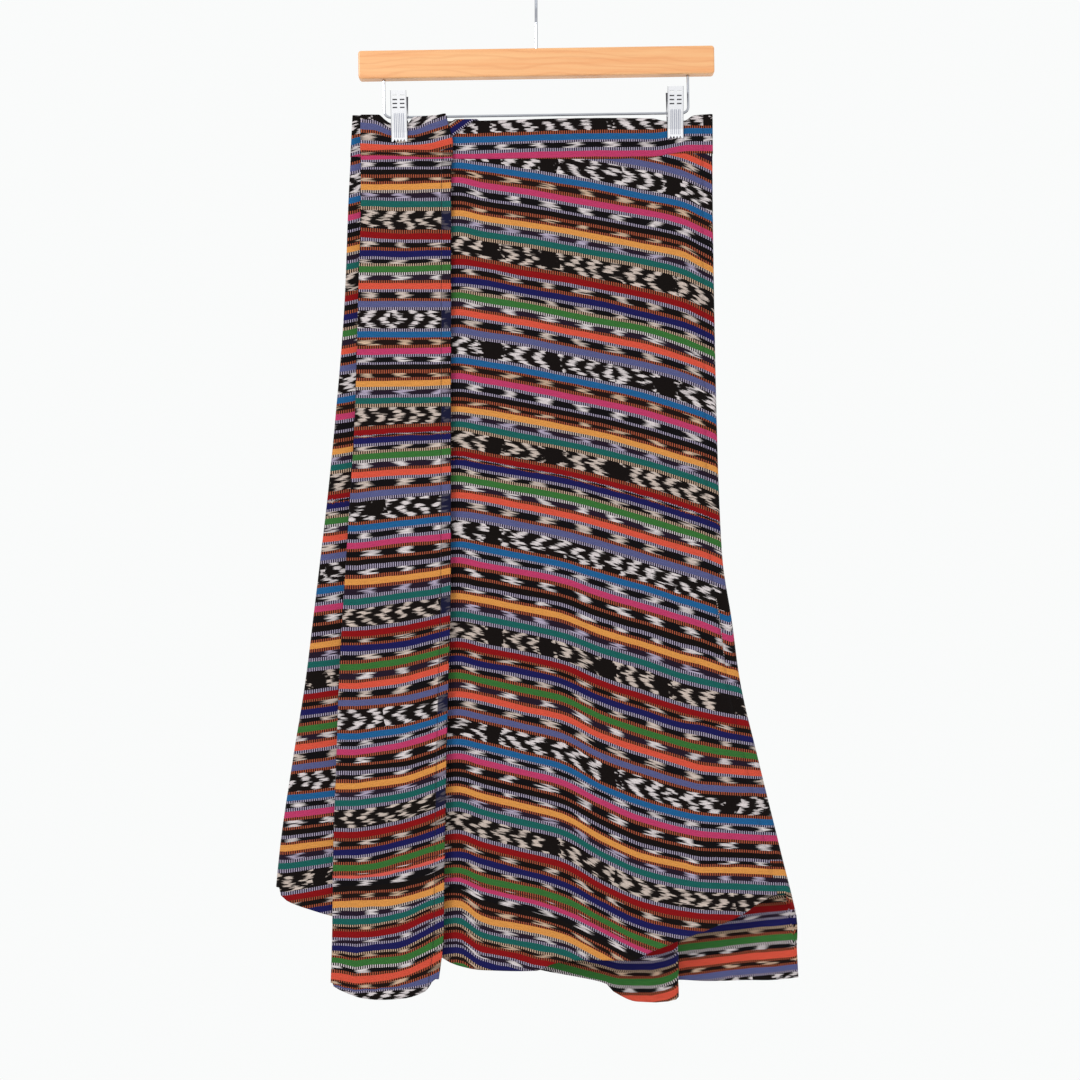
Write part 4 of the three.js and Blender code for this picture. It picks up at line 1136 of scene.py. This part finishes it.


# the clips' press lines, where shade is painted, in millimetres: pitch of the ribs, half a rib, half
# the width of all ribs and of the plate inside its rim, and where the ribs' middle lies below the wire
RIB_PITCH, RIB_HALF, RIBS_HALF, RIM_HALF = 3.6, 0.85, 5.2, 7.3
RIBS_BELOW_WIRE, RIBS_LENGTH_HALF = 10.0, 11.6
BAR_TILT, CLIP_WIRE_Z = 0.0155, -152.6
# colours of the painted shade in the press lines and of the painted dark reflection round the rim
RIB_PAINTED_SHADE, RIM_PAINTED_REFLECTION = (118, 126, 152), (62, 66, 76)


def chrome(name, bright, deep, pressed_and_shaded=False):
    """Bright plate. On the clips' jaws, shade is painted along the press lines and a dark reflection
    round the rim.
    """
    g = Graph(bpy.data.materials.new(name))
    place = g.place()
    colour = g.mix(g.noise(place, 60.0), dye(bright, 1.0), dye(deep, 1.0))
    if pressed_and_shaded:
        x, _, z = g.split(place)
        x, z = x * 1000.0, z * 1000.0
        height = z - CLIP_WIRE_Z - x * BAR_TILT
        upright = x + (z - CLIP_WIRE_Z) * BAR_TILT
        local = abs(upright - sum(CLIPS_X) / 2) - (CLIPS_X[1] - CLIPS_X[0]) / 2
        rib = abs(g.math("WRAP", local + RIB_PITCH / 2, RIB_PITCH, 0.0) - RIB_PITCH / 2)
        # painted shade beside each rib of the press lines
        line = g.fade(abs(rib - RIB_HALF), 0.3, 0.12) * g.fade(abs(local), RIBS_HALF, 0.1)
        line = line * g.fade(abs(height + RIBS_BELOW_WIRE), RIBS_LENGTH_HALF, 0.3)
        # painted dark reflection round the plate's rim
        rim = 1.0 - g.fade(abs(local), RIM_HALF, 0.15)
        colour = g.mix(line * 0.85, colour, dye(RIB_PAINTED_SHADE, 1.0))
        colour = g.mix(rim * 0.55, colour, dye(RIM_PAINTED_REFLECTION, 1.0))
    return g.look({
        "Base Color": colour, "Metallic": 0.84 if pressed_and_shaded else 1.0,
        "Roughness": 0.07 + g.noise(place, 420.0, 4.0, 0.6) * 0.12,
    })


def speckled(name, low, high, scale, detail, strength, values):
    """A material that wavers between two colours."""
    g = Graph(bpy.data.materials.new(name))
    share = g.noise(g.place(), scale, detail)
    return g.look({"Base Color": g.mix(share, dye(low, strength), dye(high, strength)), **values})


# ---------------------------------------------------------------- the skirt

THREAD = 2600.0, 2.0, DYE, {"Roughness": 0.7}
INSIDE_STEEL_SHADED = 300.0, 3.0, 1.0, {"Metallic": 0.6, "Roughness": 0.55}  # the clips' insides: unpolished steel, painted darker as the shade within the clip

cotton_front = cotton("cotton_front", BORDER_START, 0.0, "pink")
cotton_flap = cotton("cotton_flap", BORDER_START, 0.0, "salmon", turned_hem=True)
cotton_back = cotton("cotton_back", BACK_BORDER_START, BACK_BORDER_SKIP, "pink")
thread_dark = speckled("thread_dark", (30, 26, 30), (70, 62, 70), *THREAD)
thread_pale = speckled("thread_pale", (176, 160, 150), (226, 214, 204), *THREAD)

LINES, BAND_LINES = 400, 24
front_cols, back_cols = list(front_columns(78)), list(back_columns(56))
flap_cols = list(flap_columns(18, 16))
band_cols = {"front": list(front_columns(190)), "back": list(back_columns(130)),
             "flap": list(flap_columns(46, 22))}

cloth = {
    "front_panel": panel("cloth_front_panel", front_cols, body_seam, front_chart, LINES, cotton_front),
    "back_panel": panel("cloth_back_panel", back_cols, body_seam, back_chart, LINES, cotton_back),
    "overlap_panel": panel("cloth_overlap_panel", flap_cols, flap_seam, flap_chart, LINES, cotton_flap),
    "waistband_front": band("cloth_waistband_front", band_cols["front"], body_top, body_seam,
                            body_band_chart, BAND_LINES, cotton_front),
    "waistband_back": band("cloth_waistband_back", band_cols["back"], body_top, body_seam,
                           body_band_chart, BAND_LINES, cotton_front),
    "waistband_overlap": band("cloth_waistband_overlap", band_cols["flap"], flap_top, flap_seam,
                              flap_band_chart, BAND_LINES, cotton_front),
    "tie": tie("cloth_tie", cotton_front),
}

FLAP_STITCH, SEAM_STITCH = (2.5, 0.8, 0.34), (1.5, 0.9, 0.7)  # length, gap and thickness

stitch_z = np.linspace(-196, -1003, 400)
line = flap_face(flap_edge(stitch_z) - TURNED_HEM, stitch_z) + (0, -PANEL_THICKNESS / 2, 0)
outward = np.tile([0.0, -1.0, 0.0], (len(line), 1))
flap_stitches = stitches("stitches_flap_edge", line, outward, *FLAP_STITCH, thread_dark)

seam_z = np.linspace(SEAM_SHOWS[0], SEAM_SHOWS[1], 60)
seam_x = right_fold(seam_z) - fold_radius(seam_z) - SIDE_SEAM_INSET
line = seamed(front_point(seam_x, seam_z), seam_x) + (0, -PANEL_THICKNESS / 2, 0)
seam_stitches = stitches("stitches_side_seam", line, outward[:len(line)], *SEAM_STITCH, thread_pale)

for node, piece in cloth.items():
    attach(piece, "root")
    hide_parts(node)
sewn = {"overlap_panel": flap_stitches, "front_panel": seam_stitches}
for piece in sewn.values():
    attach(piece, "root")

wood = beech()
# dark unpolished steel with painted shade, for the clips' insides
shaded_dull_steel = speckled("dull_steel_painted_shade", (58, 60, 66), (84, 86, 92), *INSIDE_STEEL_SHADED)
plated = chrome("chrome_wire", (206, 209, 215), (176, 179, 187))
shaded_jaw_plate = chrome("chrome_jaw_painted_shade", (254, 254, 255), (244, 246, 250), pressed_and_shaded=True)
for node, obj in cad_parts.items():
    if node in cloth:
        continue
    obj.data.materials.clear()
    if node.endswith("_jaw"):
        obj.data.materials.append(shaded_jaw_plate)
        obj.data.materials.append(shaded_dull_steel)
        # faces that turn into the clip get the dark steel, which stands for the shade inside it
        inward = 1 if "front" in node else -1
        for polygon in obj.data.polygons:
            polygon.material_index = int(polygon.normal.y * inward > 0.5)
    else:
        obj.data.materials.append(wood if node == "hanger_bar" else plated)

# ---------------------------------------------------------------- floor, light and camera

FLOOR_HALF, FLOOR_Z = 1400, -1600
PAPER, PALE_FLOOR = (0.955, 0.965, 0.962, 1), (0.86, 0.88, 0.89, 1)
ROOM_BELOW, ROOM_ABOVE, ROOM_BESIDE = (0.68, 0.68, 0.69, 1), (0.92, 0.92, 0.92, 1), (0.3, 0.3, 0.31, 1)

pale = Graph(bpy.data.materials.new("pale_floor")).look({"Base Color": PALE_FLOOR, "Roughness": 0.95})
corners = [(x * FLOOR_HALF, y * FLOOR_HALF, FLOOR_Z) for x, y in ((-1, -1), (1, -1), (1, 1), (-1, 1))]
floor = new_object("floor", corners, [(0, 1, 2, 3)], pale, soft=False)

# the paper ahead of the camera, and the room round it, which lights the cloth and shows in the steel
world = bpy.data.worlds.new("studio")
sky = Graph(world)
to_side, to_back, to_top = sky.split(sky.place("Generated"))
room = sky.mix(sky.step(-0.45, 0.1, to_top), ROOM_BELOW, ROOM_ABOVE)
room = sky.mix(sky.step(0.62, 0.85, abs(to_side)) * 0.35, room, ROOM_BESIDE)
background = world.node_tree.nodes["Background"]
sky.feed(background.inputs[0], sky.mix(sky.step(0.3, 0.6, to_back), room, PAPER))
bpy.context.scene.world = world
bpy.context.scene.view_settings.view_transform = "Standard"


def softbox(name, place, aim, size, power):
    light = bpy.data.lights.new(name, "AREA")
    light.shape, light.size, light.energy = "SQUARE", size, power
    obj = bpy.data.objects.new(name, light)
    obj.location = place
    direction = np.array(aim) - np.array(place)
    obj.rotation_euler = Vector(direction).to_track_quat("-Z", "Y").to_euler()
    link(obj)


softbox("key", (-1.5, -1.5, 0.5), (0, 0, -0.55), 0.8, 30)
softbox("side", (1.9, -1.0, -0.3), (0, 0, -0.55), 0.7, 12)

camera = bpy.data.objects.new("camera", bpy.data.cameras.new("camera"))
camera.location = [c * MM for c in EYE]
camera.rotation_euler = (math.radians(90), 0, 0)
camera.data.sensor_width = SENSOR
camera.data.lens = SENSOR / 2 / (PHOTO_HALF / -EYE[1])
link(camera)
bpy.context.scene.camera = camera
